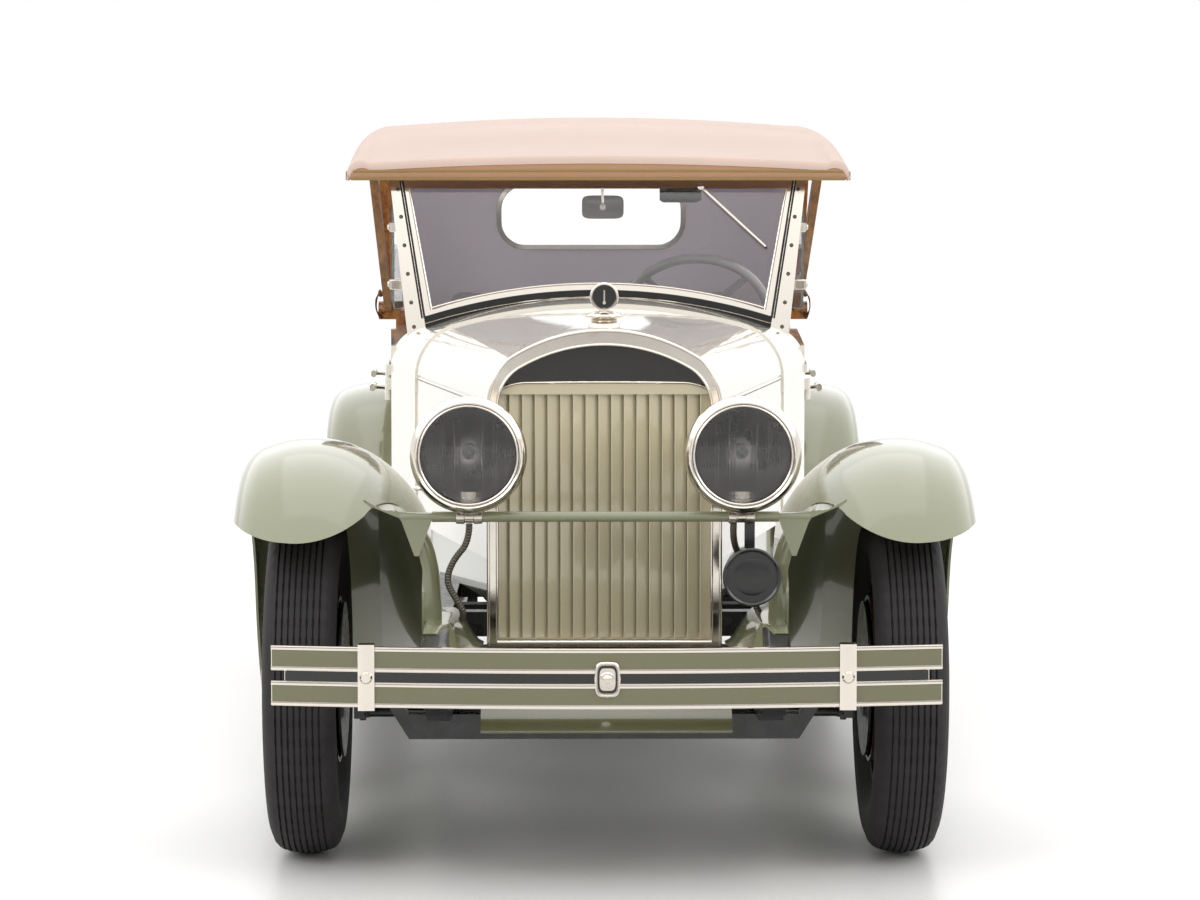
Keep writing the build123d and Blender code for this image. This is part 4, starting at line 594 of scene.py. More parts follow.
for corner, centre, axis, body, node in wheels:
    putTyre(f"treadTyre_{corner}", centre, axis, body, node)
    rimShell = turned(rimProfile, centre, 96, axis, True)
    putPiece(f"rimPaint_{corner}", rimShell, blackEnamel, 35, body)
    putPiece(f"hubCap_{corner}", turned(wheelTrim["cap"], centre, 48, axis), nickelPlate, 35, body)
    bolts = turned([wheelTrim["boltRing"]], centre, wheelTrim["bolts"], axis, start=wheelTrim["boltStart"])[0]
    aims = [axis] * len(bolts)
    putHeads(f"spokeBolts_{corner}", bolts, aims, *wheelTrim["boltHead"], nickelSatin, 6, body)

print("stage: lamps")
lampTrim = {"x": 0.318, "z": 0.983, "frontS": -330, "barS": -250, "barZ": 0.834, "lens": 0.1165,
            "lensSet": 0.011, "lensBack": 0.010, "ribPitch": 0.0065, "ribDepth": 0.0016, "band": 0.0195,
            "bulge": 0.006}
lampTurned = {  # name: finish, segments, smooth, profile of (along, radius)
    "lampBowl": (dullSilver, 72, 60, [(0.0245 + 0.125 * (1 - (k / 24) ** 2), 0.0165 + 0.1 * k / 24)
                                      for k in range(25)]),
    "lampBulb": (lensGlass, 24, 60, [(0.07 + 0.034 * (1 - math.cos(math.pi * k / 12)),
                                      0.0165 * math.sin(math.pi * k / 12) + 0.0002) for k in range(13)]),
    "bulbHolder": (blackEnamel, 24, 40, [(0.118, 0.0005), (0.118, 0.0125), (0.128, 0.0135), (0.152, 0.0165)]),
    "lampBezel": (nickelPlate, 96, 40, [(0.0006, 0.1185), (-0.0035, 0.1195), (-0.005, 0.1225),
                                        (-0.003, 0.126), (0.003, 0.1295), (0.010, 0.1352), (0.0245, 0.1358),
                                        (0.0275, 0.1335), (0.0275, 0.1305)]),
    "lampRing": (nickelSatin, 96, 40, [(0.0009, 0.1172), (-0.0015, 0.1165), (-0.0028, 0.1142),
                                       (-0.0015, 0.1122), (0.0012, 0.1122)]),
}
lampFoot = {
    "collar": [(0.0104, 0.0335), (0.016, 0.0345), (0.021, 0.031), (0.026, 0.034), (0.032, 0.0325),
               (0.036, 0.029), (0.062, 0.029)],
    "wrap": [(-0.032, 0.0115), (-0.030, 0.0165), (-0.012, 0.0175), (-0.010, 0.0145), (0.010, 0.0145),
             (0.012, 0.0175), (0.030, 0.0165), (0.032, 0.0115)],
    "sleeve": [(-0.405, 0.0102), (-0.405, 0.0128), (0.405, 0.0128), (0.405, 0.0102)],
}


# Pressed lens: a round of upright ribs on a slight dome, with a plain middle band, flat behind
def ribbedLens(centre, size, columns=144, rows=14):
    cx, cy, cz = centre
    front, back = [], []
    for i in range(columns + 1):
        x = size["lens"] * math.sin(math.pi * (i / columns - 0.5)) * 0.9995
        tall = math.sqrt(max(size["lens"] ** 2 - x * x, 1e-8))
        front.append([])
        back.append([])
        for j in range(rows + 1):
            z = tall * math.sin(math.pi * (j / rows - 0.5))
            far = (x * x + z * z) / size["lens"] ** 2
            rib = size["ribDepth"] * abs(math.sin(math.pi * x / size["ribPitch"])) * (1 - far ** 6)
            proud = size["bulge"] * (1 - far) + rib * (abs(x) > size["band"])
            front[i].append((cx + x, cy - proud, cz + z))
            back[i].append((cx + x, cy + size["lensBack"], cz + z))
    return shelled(front, back)


lensShapes = []
for side, hand in sides:
    face = (hand * lampTrim["x"], at(lampTrim["frontS"]), lampTrim["z"])
    lensShapes.append(ribbedLens((face[0], face[1] + lampTrim["lensSet"], face[2]), lampTrim))
    for name, (finish, segments, smooth, profile) in lampTurned.items():
        putPiece(f"{name}_{side}", turned(profile, face, segments), finish, smooth)
    foot = (hand * lampTrim["x"], at(lampTrim["barS"]), lampTrim["barZ"])
    stem = joined(turned(lampFoot["collar"], foot, 32, upward), turned(lampFoot["wrap"], foot, 32, leftward))
    putPiece(f"lampCollar_{side}", stem, nickelSatin, 35)
lenses = putPiece("ribbedLenses", joined(*lensShapes), lensGlass, 50)
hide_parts("headlamp_lenses")
sleeve = turned(lampFoot["sleeve"], (0, at(lampTrim["barS"]), lampTrim["barZ"]), 32, leftward)
putPiece("lampBarSleeve", sleeve, sageLacquer, 35)

conduits = {
    "radius": 0.008, "turn": 0.007, "ridge": 0.0016, "facets": 14, "turnAbout": (0.31, 0.2, 0.93),
    "right": [(-0.318, at(-250), 0.818), (-0.318, at(-250), 0.775), (-0.356, at(-246), 0.732),
              (-0.374, at(-236), 0.68), (-0.346, at(-226), 0.632), (-0.33, at(-215), 0.6),
              (-0.338, at(-190), 0.586)],
    "left": [(0.300, at(-244), 0.818), (0.298, at(-230), 0.78), (0.318, at(-160), 0.73),
             (0.34, at(-120), 0.66), (0.352, at(-110), 0.62), (0.37, at(-110), 0.588)],
}


# Wound steel conduit: a tube whose wall rises and falls with its turns
def woundTube(points, size):
    route = bpy.data.curves.new("conduitRoute", "CURVE")
    route.dimensions = "3D"
    spline = route.splines.new("NURBS")
    spline.points.add(len(points) - 1)
    for p, place in zip(spline.points, points):
        p.co = (*place, 1.0)
    spline.order_u = 3
    spline.use_endpoint_u = True
    route.resolution_u = 40
    spots = [v.co.copy() for v in applied(newObject("conduitRoute", route)).vertices]
    steps = np.concatenate([[0], np.cumsum([(b - a).length for a, b in zip(spots, spots[1:])])])
    count = int(steps[-1] / (size["turn"] / 4))
    fine = [Vector([reading(steps[-1] * k / count, steps, [spot[a] for spot in spots]) for a in range(3)])
            for k in range(count + 1)]
    rows = []
    for k, p in enumerate(fine):
        ahead = (fine[min(k + 1, count)] - fine[max(k - 1, 0)]).normalized()
        across = ahead.cross(Vector(size["turnAbout"])).normalized()
        third = ahead.cross(across)
        r = size["radius"] - size["ridge"] * (k % 4 == 0)
        rows.append([p + (across * c + third * s) * r for c, s in roundSection(1.0, size["facets"])])
    return tubed(rows)


for side in ("right", "left"):
    putPiece(f"lampConduit_{side}", woundTube(conduits[side], conduits), conduitSteel, 60)

# Pressed shields from the frame horns in to the radiator's sides: stations in mm, then values in m
hornShield = {"rear": -18, "front": -372, "outer": 0.426, "bend": 0.362, "lip": 0.03, "wall": 0.002,
              "crest": ((-372, -330, -120, -18), (0.5745, 0.5875, 0.5945, 0.5945)),
              "inner": ((-372, -150, -72, -18), (0.37, 0.300, 0.2895, 0.2895)),
              "foot": ((-372, -250, -72, -18), (0.515, 0.508, 0.512, 0.512))}
# Flange that runs from the lamp bar's gusset down the fender apron's front edge to the frame horn
apronFlange = {"heights": (0.806, 0.775, 0.747, 0.71, 0.668, 0.63, 0.585), "front": -249, "rear": -214,
               "outer": (0.462, 0.447, 0.4365, 0.4275, 0.4255, 0.4255, 0.4255),
               "inner": (0.425, 0.408, 0.399, 0.391, 0.3875, 0.385, 0.383), "wall": 0.0025}
# Web that closes the fender's notch over the lamp bar's arm, up to the fender's arc (mm)
armWeb = {"x": (0.468, 0.482, 0.496, 0.510, 0.524, 0.538, 0.552),
          "low": (0.834, 0.839, 0.843, 0.847, 0.851, 0.858, 0.866),
          "high": (0.838, 0.851, 0.861, 0.866, 0.867, 0.866, 0.868),
          "drop": (120, 102, 90, 76, 63, 52, 43), "s": -237, "wall": 0.002,
          "arcRadius": 496, "arcZ": 500, "arcS": 20}
for side, hand in sides:
    size, rows = hornShield, []
    for i in range(25):
        s = size["rear"] + (size["front"] - size["rear"]) * i / 24
        crest, inner, foot = (reading(s, *size[key]) for key in ("crest", "inner", "foot"))
        row = []
        for j in range(13):
            x = inner + (size["outer"] - inner) * j / 12
            rise = min(1.0, max(0.0, (x - inner) / max(size["bend"] - inner, 0.02)))
            z = foot + (crest - foot) * (3 * rise ** 2 - 2 * rise ** 3) - (size["lip"] if j == 12 else 0)
            row.append((hand * x, at(s), z))
        rows.append(row)
    putPiece(f"hornShield_{side}", plated(rows, (0, 0, -size["wall"])), sageLacquer, 60)
    size, rows = apronFlange, []
    drops = [-z for z in size["heights"]]
    for k in range(25):
        z = reading(k / 24, (0, 1), (size["heights"][0], size["heights"][-1]))
        outer, inner = (reading(-z, drops, size[key]) for key in ("outer", "inner"))
        row = []
        for j in range(7):
            s = size["front"] + (size["rear"] - size["front"]) * (j / 6) ** 2
            row.append((hand * (outer + (inner - outer) * j / 6), at(s), z))
        rows.append(row)
    putPiece(f"apronFlange_{side}", plated(rows, (0, size["wall"], 0)), sageLacquer, 50)
    size, rows = armWeb, []
    for j in range(6):
        row = []
        for x, low, high, drop in zip(size["x"], size["low"], size["high"], size["drop"]):
            arc = math.sqrt((size["arcRadius"] - drop) ** 2 - (high * 1000 - size["arcZ"]) ** 2)
            rise = size["arcS"] - arc - size["s"]
            row.append((hand * x, at(size["s"] + rise * j / 5), low + (high - low) * j / 5))
        rows.append(row)
    putPiece(f"armWeb_{side}", plated(rows, (0, size["wall"], 0)), sageLacquer, 60)

hornFace = {"centre": (0.337, at(-360), 0.703),
            "bell": [(0.0075, 0.0677), (-0.002, 0.0675), (-0.0045, 0.064), (-0.002, 0.0595), (0.003, 0.057),
                     (0.0008, 0.052), (-0.0012, 0.03), (-0.002, 0.0002)]}
putPiece("hornFace", turned(hornFace["bell"], hornFace["centre"], 64), blackEnamel, 30)
tailTrim = {"x": 0.7, "s": 3911, "z": 0.7006,
            "dome": [(0.0002, 0.0415), (0.003, 0.04), (0.007, 0.032), (0.010, 0.018), (0.011, 0.0002)],
            "hoop": [(-0.012, 0.0464), (0.0018, 0.0464), (0.0034, 0.0445), (0.0034, 0.0415), (0.0004, 0.041)]}
for side, hand in sides:
    place = (hand * tailTrim["x"], at(tailTrim["s"]), tailTrim["z"])
    putPiece(f"rubyLens_{side}", turned(tailTrim["dome"], place, 40), rubyGlass, 60)
    putPiece(f"tailHoop_{side}", turned(tailTrim["hoop"], place, 48), nickelPlate, 35)

print("stage: radiator")
archTable = {  # half width, side top, corner x, corner z, crown (m)
    "radiator": (0.280, 1.078, 0.232, 1.194, 1.264), "hoodRear": (0.489, 1.090, 0.395, 1.226, 1.282),
    "cowlRear": (0.578, 1.110, 0.478, 1.212, 1.297)}


# Points of a nose arch from its left foot, over the crown, to its right foot
def archCurve(arch, bottom, steps=40, grow=0.0):
    half, sideTop, cornerX, cornerZ, crown = arch
    r = arcRadius(cornerZ - sideTop, half - cornerX)
    turn = math.atan2(cornerZ - sideTop, cornerX - (half - r))
    points = [(half + grow, bottom)]
    for k in range(13):
        angle = turn * k / 12
        points.append((half - r + (r + grow) * math.cos(angle), sideTop + (r + grow) * math.sin(angle)))
    foot = [(-x, z) for x, z in reversed(points)]
    big = arcRadius(cornerX, crown - cornerZ)
    lean = math.asin(cornerX / big)
    for k in range(1, steps):
        angle = lean * (1 - 2 * k / steps)
        points.append(((big + grow) * math.sin(angle), crown - big + (big + grow) * math.cos(angle)))
    return points + foot


coreInset = {"side": 0.024, "lower": 0.012}


# The arch of the core opening, inside the shell's
def coreEdge(gap):
    half, sideTop, cornerX, cornerZ, crown = archTable["radiator"]
    amount, lower = coreInset["side"] + gap, coreInset["lower"]
    return (half - amount, sideTop, cornerX - amount, cornerZ - amount * 0.5 - lower, crown - amount - lower)


shellTrim = {"frontS": -72, "stripS": -56.5, "stripLow": 1.1085, "stripHigh": 1.136, "stripWall": 0.005,
             "shoulder": 0.19, "fall": 0.02, "bow": 0.002, "foot": 0.519, "sillX": 0.256, "sillZ": 0.516}
half, shellY, panelY = coreEdge(0.001)[0], at(shellTrim["frontS"]), at(shellTrim["stripS"])
strip = []
for k in range(41):
    x = half * 0.995 * (1 - k / 20)
    fall = max(0.0, (abs(x) - shellTrim["shoulder"]) / (half - shellTrim["shoulder"])) ** 2
    strip.append((x, shellTrim["stripHigh"] - shellTrim["fall"] * fall - shellTrim["bow"] * (x / half) ** 2))
stripRows = [[(x, panelY, z) for x, z in strip], [(x, panelY, shellTrim["stripLow"]) for x, z in strip]]
putPiece("shutterHeader", plated(stripRows, (0, shellTrim["stripWall"], 0)), khakiEnamel, 35)
sill = [(-shellTrim["sillX"], shellTrim["sillZ"]), (shellTrim["sillX"], shellTrim["sillZ"])]
beads = []
for line, y, lift, radius, facets in (
        (strip, panelY - 0.001, 0.0015, 0.0032, 8),
        (archCurve(coreEdge(0.0), shellTrim["foot"]), shellY + 0.0006, 0.0, 0.0036, 10),
        (archCurve(archTable["radiator"], 0.508, 40, -0.003), shellY + 0.0012, 0.0, 0.0042, 10),
        (sill, shellY - 0.001, 0.0, 0.005, 10)):
    beads.append(carried([(x, y, z + lift) for x, z in line], roundSection(radius, facets), rearward))
putPiece("shellBeads", joined(*beads), nickelPlate, 45)
coreScreen = {"y": at(-23.2), "across": (-0.2535, 0.0, 0.2535), "heights": (0.530, 0.8, 1.10), "wall": 0.0008}
screen = [[(x, coreScreen["y"], z) for x in coreScreen["across"]] for z in coreScreen["heights"]]
putPiece("coreScreen", plated(screen, (0, coreScreen["wall"], 0)), blackEnamel, 0)

gauge = {"centre": (0.0, at(-25), 1.340),
         "ring": [(0.012, 0.0332), (0.004, 0.0345), (-0.003, 0.0345), (-0.0048, 0.0325), (-0.0044, 0.0292),
                  (-0.0018, 0.0272), (0.0002, 0.0268)],
         "backRing": [(0.014, 0.0332), (0.022, 0.0345), (0.029, 0.0345), (0.0308, 0.0325), (0.0304, 0.0292),
                      (0.0278, 0.0272), (0.0262, 0.0268)],
         "dial": [(-0.0008, 0.0272), (-0.0006, 0.012), (-0.0006, 0.0001)],
         "hub": [(0.0, 0.0045), (-0.001, 0.004), (-0.0014, 0.0001)], "handLow": -0.014, "handHigh": 0.016}
gaugeY, gaugeZ = gauge["centre"][1:]
rings = joined(*(turned(gauge[key], gauge["centre"], 56) for key in ("ring", "backRing")))
putPiece("gaugeRings", rings, nickelPlate, 35)
putPiece("gaugeDial", turned(gauge["dial"], gauge["centre"], 40), blackEnamel, 60)
needle = [(0, gaugeY - 0.0014, gaugeZ + gauge[key]) for key in ("handLow", "handHigh")]
hub = turned(gauge["hub"], (0, gaugeY - 0.001, gaugeZ + gauge["handLow"]), 16)
putPiece("gaugeHand", joined(carried(needle, boxSection(0.0034, 0.0008), rearward), hub), nickelSatin, 0)
capRings = {"centre": (0, at(-12), 1.264),
            "profile": [(0.0004, 0.0345), (0.0004, 0.037), (0.004, 0.0385), (0.008, 0.037), (0.011, 0.035),
                        (0.0125, 0.034), (0.0145, 0.0285), (0.0165, 0.0325), (0.0185, 0.0285),
                        (0.0205, 0.0325), (0.0225, 0.0285), (0.025, 0.039), (0.028, 0.0435), (0.031, 0.0448),
                        (0.0345, 0.0435), (0.037, 0.036), (0.0415, 0.018), (0.047, 0.0135), (0.050, 0.0145)]}
putPiece("capRings", turned(capRings["profile"], capRings["centre"], 56, upward), nickelPlate, 30)

print("stage: bumpers")
barTrim = {"half": 0.757, "bow": 0.07, "frontS": -632, "z": 0.504, "offset": 0.040, "lipZ": 0.0225,
           "stripeHalf": 0.755, "stripe": (0.0016, 0.036, 0.0004),
           "gapHalf": 0.725, "gapS": -629, "gapBow": 0.066, "gap": (0.0012, 0.0225),
           "lip": [(-0.0012, -0.0055), (0.0026, -0.0038), (0.0034, 0.0), (0.0026, 0.0038), (-0.0012, 0.0055)]}


# The bar's bow in plan, from one end to the other
def barArc(half, frontS, bow, lift=0.0, steps=48):
    r = arcRadius(barTrim["half"], bow)
    xs = [half * (2 * k / steps - 1) for k in range(steps + 1)]
    return [(x, at(frontS) - lift + r - math.sqrt(r * r - x * x)) for x in xs]


barZ = barTrim["z"]
stripeArc = barArc(barTrim["stripeHalf"], barTrim["frontS"], barTrim["bow"], 0.0005)
lipArc = barArc(barTrim["half"], barTrim["frontS"], barTrim["bow"])
stripes, lips = [], []
for z in (barZ - barTrim["offset"], barZ + barTrim["offset"]):
    stripes.append(carried([(x, y, z) for x, y in stripeArc], boxSection(*barTrim["stripe"])))
    for edge in (-1, 1):
        lip = [(x, y + 0.0012, z + edge * barTrim["lipZ"]) for x, y in lipArc]
        lips.append(carried(lip, barTrim["lip"]))
putPiece("bumperStripes", joined(*stripes), oliveStripeAndPanShade, 35)
putPiece("bumperLips", joined(*lips), nickelPlate, 45)
# A black strip between the two bars: painted shade seen through the gap
gapArc = barArc(barTrim["gapHalf"], barTrim["gapS"], barTrim["gapBow"], 0.0007)
gapLine = [(x, y, barZ) for x, y in gapArc]
putPiece("bumperGap", carried(gapLine, boxSection(*barTrim["gap"])), blackEnamel, 0)

clamps = {"x": 0.541, "proud": 10, "tall": 0.0745, "bolt": (0.0145, 0.006),
          "section": [(-0.0186, -0.008), (-0.0186, 0.0005), (-0.016, 0.0022), (0.016, 0.0022),
                      (0.0186, 0.0005), (0.0186, -0.008)]}
barBack = 1000 * barTrim["bow"] * (clamps["x"] / barTrim["half"]) ** 2
clampY = at(barTrim["frontS"] + barBack - clamps["proud"])
covers, bolts = [], []
for side, hand in sides:
    x = hand * clamps["x"]
    ends = [(x, clampY, barZ - clamps["tall"]), (x, clampY, barZ + clamps["tall"])]
    covers.append(carried(ends, clamps["section"], (0, -1, 0)))
    bolts.append((x, clampY - 0.0035, barZ))
putPiece("clampCovers", joined(*covers), nickelPlate, 35)
putHeads("clampBolts", bolts, [(0, -1, 0)] * 2, *clamps["bolt"], nickelPlate, 32)

medal = {"y": at(-640), "outline": squaredOval(0.028, 0.0395, 0.45, 0.55),
         "steps": ((1.0, 0.006), (1.0, -0.0012), (0.93, -0.0028), (0.86, -0.0022), (0.83, -0.0008),
                   (0.7, -0.0006)),
         "boss": [(0.0, 0.0175), (-0.002, 0.017), (-0.0035, 0.0135), (-0.0035, 0.011), (-0.006, 0.0105),
                  (-0.0085, 0.006), (-0.009, 0.0001)], "inlay": (0.64, 0.72, 0.8)}


def medalRow(share, lift):
    return [(x * share, medal["y"] + lift, barZ + z * share) for x, z in medal["outline"]]


dish = [p for share, lift in medal["steps"] for p in medalRow(share, lift)]
dishFaces = gridFaces(len(medal["steps"]), len(medal["outline"]))
dishFaces.append(tuple(range(len(dish) - len(medal["outline"]), len(dish))))
boss = turned(medal["boss"], (0, medal["y"], barZ), 40)
putPiece("bumperMedal", joined((dish, dishFaces), boss), nickelSatin, 35)
inlay = [medalRow(share, -0.0013 - 0.0004 * share) for share in medal["inlay"]]
putPiece("medalInlay", plated([row + row[:1] for row in inlay], (0, 0.001, 0)), blackEnamel, 0)

rearBar = {"x": 0.600, "half": 0.163, "s": 4258.5, "heights": (0.508, 0.588),
           "stripe": (0.0016, 0.034, 0.0004)}
rearStripes = []
for side, hand in sides:
    for z in rearBar["heights"]:
        line = [(hand * rearBar["x"] + x, at(rearBar["s"]), z) for x in (-rearBar["half"], rearBar["half"])]
        rearStripes.append(carried(line, boxSection(*rearBar["stripe"])))
putPiece("rearBumperStripes", joined(*rearStripes), oliveStripeAndPanShade, 35)

print("stage: windshield")
shield = {"baseS": 1395, "baseZ": 1.2, "lean": math.radians(8), "top": 0.424, "low": 0.484, "high": 0.546,
          "sill": 0.113, "sillEnd": 0.038, "along": (0, 1, 0.2)}
leanCos, leanSin = math.cos(shield["lean"]), math.sin(shield["lean"])


# A point on the windshield's plane: across, up the slope, and out to the front
def onShield(x, v, out=0.0):
    y = at(shield["baseS"]) + v * leanSin - out * leanCos
    return (x, y, shield["baseZ"] + v * leanCos + out * leanSin)


def shieldPoint(x, z, out):
    return onShield(x, (z - shield["baseZ"]) / leanCos, out)


def footHeight(x):
    r = arcRadius(shield["low"], shield["sill"] - shield["sillEnd"])
    return shield["sill"] - r + math.sqrt(r * r - min(abs(x), shield["low"]) ** 2)


cowlRun = {"hoodS": 1046, "length": 384}


def cowlHeight(x, s):
    share = (s - cowlRun["hoodS"]) / cowlRun["length"]
    ends = zip(archTable["hoodRear"], archTable["cowlRear"])
    half, sideTop, cornerX, cornerZ, crown = (p + (q - p) * share for p, q in ends)
    if abs(x) <= cornerX:
        r = arcRadius(cornerX, crown - cornerZ)
        return crown - r + math.sqrt(r * r - x * x)
    r = arcRadius(cornerZ - sideTop, half - cornerX)
    return sideTop + math.sqrt(max(r * r - (abs(x) - half + r) ** 2, 0))


gasket = {"half": 0.51, "steps": 61, "top": 0.004, "bury": 0.004,
          "section": ((0.008, 0.0), (0.013, -0.003), (0.013, None), (-0.013, None), (-0.013, -0.003),
                      (-0.008, 0.0))}
rows = []
for k in range(gasket["steps"]):
    x = gasket["half"] * (2 * k / (gasket["steps"] - 1) - 1)
    top = footHeight(x) + gasket["top"]
    row = []
    for out, v in gasket["section"]:
        if v is None:  # the lower points reach the cowl
            y = onShield(x, top - 0.02, out)[1]
            row.append((x, y, cowlHeight(x, (y - frontAxleY) * 1000) - gasket["bury"]))
        else:
            row.append(onShield(x, top + v, out))
    rows.append(row)
putPiece("shieldGasket", tubed(rows), blackGasket, 30)

postTrim = {"foot": 0.036, "edge": 0.002, "out": 0.0168, "channel": (0.0035, 0.012, 0.001), "screwX": 0.507,
            "screwLean": 0.054, "screwOut": 0.0172, "screwHead": (0.0058, 0.0024),
            "screws": (0.012, 0.08, 0.16, 0.24, 0.32, 0.398)}
brightLine = {"half": 0.5, "under": 0.0175, "out": 0.0134, "radius": 0.0018, "postProud": 0.0022,
              "postRadius": 0.0014}
channels, screws = [], []
xs = np.linspace(-brightLine["half"], brightLine["half"], 41)
footLine = [onShield(x, footHeight(x) - brightLine["under"], brightLine["out"]) for x in xs]
gasketLines = [carried(footLine, roundSection(brightLine["radius"], 6), shield["along"])]
rise = shield["top"] - postTrim["edge"] - postTrim["foot"]
flare = shield["high"] - shield["low"]
for side, hand in sides:
    for out in (postTrim["out"], -postTrim["out"]):
        line = [onShield(hand * (shield["low"] + postTrim["edge"] + flare * k / 12),
                         postTrim["foot"] + rise * k / 12, out * 0.97) for k in range(13)]
        channels.append(carried(line, boxSection(*postTrim["channel"]), (hand, 0, 0)))
        if out > 0:
            face = [(x, y - brightLine["postProud"], z) for x, y, z in line]
            gasketLines.append(carried(face, roundSection(brightLine["postRadius"], 6), shield["along"]))
    for v in postTrim["screws"]:
        share = (v + 0.028) / (shield["top"] + 0.028)
        x = hand * (postTrim["screwX"] + postTrim["screwLean"] * share)
        screws.append(onShield(x, v, postTrim["screwOut"]))
putPiece("shieldChannels", joined(*channels), blackGasket, 30)
putPiece("gasketLine", joined(*gasketLines), nickelSatin, 60)
aims = [(0, -leanCos, leanSin)] * len(screws)
putHeads("postScrews", screws, aims, *postTrim["screwHead"], conduitSteel, 10)
innerBead = {"lip": 0.020, "out": 0.009, "low": 0.060, "high": 0.402, "radius": 0.0035}
low, rise = shield["low"] - innerBead["lip"], innerBead["high"] - innerBead["low"]
xs = [low * (1 - 2 * k / 40) for k in range(41)]
foot = [onShield(x, footHeight(x) + innerBead["lip"] + 0.001, innerBead["out"]) for x in xs]
edge = [onShield(low + flare * k / 10, innerBead["low"] + rise * k / 10, innerBead["out"]) for k in range(11)]
lines = (foot, edge, [(-x, y, z) for x, y, z in edge])
beads = [carried(line, roundSection(innerBead["radius"], 8), shield["along"]) for line in lines]
putPiece("shieldBead", joined(*beads), nickelPlate, 50)

wiper = {"pivot": (0.286, 1.600), "tip": (0.467, 1.434), "out": 0.022, "up": (0, -1, 0.14),
         "motor": (0.235, 1.588, -0.03),
         "knob": [(0.014, 0.0002), (0.014, 0.008), (-0.012, 0.009), (-0.016, 0.0002)],
         "case": [(-0.062, 0.0002), (-0.062, 0.020), (-0.052, 0.026), (0.040, 0.026), (0.055, 0.018),
                  (0.055, 0.0002)]}
pivot, tip = (Vector(shieldPoint(*wiper[key], wiper["out"])) for key in ("pivot", "tip"))
arm = carried([pivot, tip], boxSection(0.007, 0.004, 0.001), wiper["up"])
putPiece("wiperArm", joined(arm, turned(wiper["knob"], pivot, 20)), nickelPlate, 35)
bladeEnds = [pivot.lerp(tip, 0.28) + Vector((0.0, 0.008, 0)), tip + Vector((0.004, 0.008, -0.006))]
putPiece("wiperBlade", carried(bladeEnds, boxSection(0.004, 0.012, 0.001), wiper["up"]), blackGasket, 30)
putPiece("wiperMotor", turned(wiper["case"], shieldPoint(*wiper["motor"]), 28, leftward), blackEnamel, 35)

mirrorTrim = {"centre": (0.014, 1.553, -0.055), "outline": squaredOval(0.059, 0.033, 0.35, 0.4),
              "steps": ((0.9, -0.007), (0.985, -0.0055), (1.0, -0.002), (1.0, 0.003), (0.965, 0.004),
                        (0.95, 0.0028)),
              "stem": [(0.0, -0.006, 0.0), (0.0, -0.020, 0.014), (-0.002, -0.018, 0.06)],
              "socket": [(-0.009, 0.0002), (-0.009, 0.009), (0.0, 0.0105), (0.0, 0.0002)]}
mx, my, mz = shieldPoint(*mirrorTrim["centre"])
rows = [[(mx + x * share, my + lift, mz + z * share) for x, z in mirrorTrim["outline"]]
        for share, lift in mirrorTrim["steps"]]
putPiece("rearMirror", tubed(rows), dimCabinReflection, 35)
line = [(mx + x, my + y, mz + z) for x, y, z in mirrorTrim["stem"]]
stem = carried(line, roundSection(0.0045, 10), leftward)
putPiece("mirrorStem", joined(stem, turned(mirrorTrim["socket"], (mx, my - 0.0065, mz), 20)), nickelPlate, 40)

wingTrim = {"x": 0.572, "s": 1452, "z": 1.41, "heights": (1.33, 1.49), "splay": 0.1203, "run": 0.9927,
            "mid": 0.128, "postX": 0.525, "postLean": 0.052, "clipS": 1478, "endS": 1494,
            "bracket": (0.010, 0.028, 0.003), "rim": (0.0018, 0.0066, 0.0004), "clip": (0.0095, 0.005),
            "outline": roundedRect(0.2305, 0.3005, 0.04)}
brackets, clips, clipAims, wingRims = [], [], [], []
for side, hand in sides:
    for z in wingTrim["heights"]:
        up = (z - shield["baseZ"]) / leanCos
        postX = wingTrim["postX"] + wingTrim["postLean"] * (up + 0.03) / 0.454
        postS = shield["baseS"] + up * 1000 * leanSin
        run = ((postX - 0.004, postS + 6), (wingTrim["x"] + 0.006, postS + 20),
               (wingTrim["x"] + 0.008, wingTrim["endS"]))
        line = [(hand * x, at(s), z) for x, s in run]
        brackets.append(carried(line, boxSection(*wingTrim["bracket"])))
        clips.append((hand * (wingTrim["x"] + 0.0125), at(wingTrim["clipS"]), z))
        clipAims.append((hand, 0, 0))
    rim = []
    for a, b in wingTrim["outline"]:
        along = wingTrim["mid"] + a
        rim.append((hand * (wingTrim["x"] - wingTrim["splay"] * along + 0.00298),
                    at(wingTrim["s"]) + wingTrim["run"] * along + 0.00036, wingTrim["z"] + b))
    wingRims.append(carried(rim + rim[:2], boxSection(*wingTrim["rim"]), (1, 0.12, 0)))
putPiece("wingBrackets", joined(*brackets), nickelPlate, 30)
putPiece("wingRims", joined(*wingRims), groundEdge, 40)
putHeads("wingClips", clips, clipAims, *wingTrim["clip"], nickelSatin, 16)

print("stage: folding top")
roofTable = np.array([  # station mm, half width, lower edge, side top, corner, crown (m)
    (1330, 0.694, 1.622, 1.636, 1.666, 1.685), (1850, 0.700, 1.650, 1.690, 1.736, 1.764),
    (2600, 0.700, 1.668, 1.730, 1.788, 1.817), (3250, 0.698, 1.660, 1.730, 1.796, 1.825),
    (3740, 0.676, 1.640, 1.700, 1.764, 1.796)])
topCloth = {"sag": 0.007, "roll": 0.022, "sheet": 0.006, "front": 1330, "last": 3738, "shoulder": 0.06,
            "bows": (1330, 1880, 2560, 3170, 3740)}


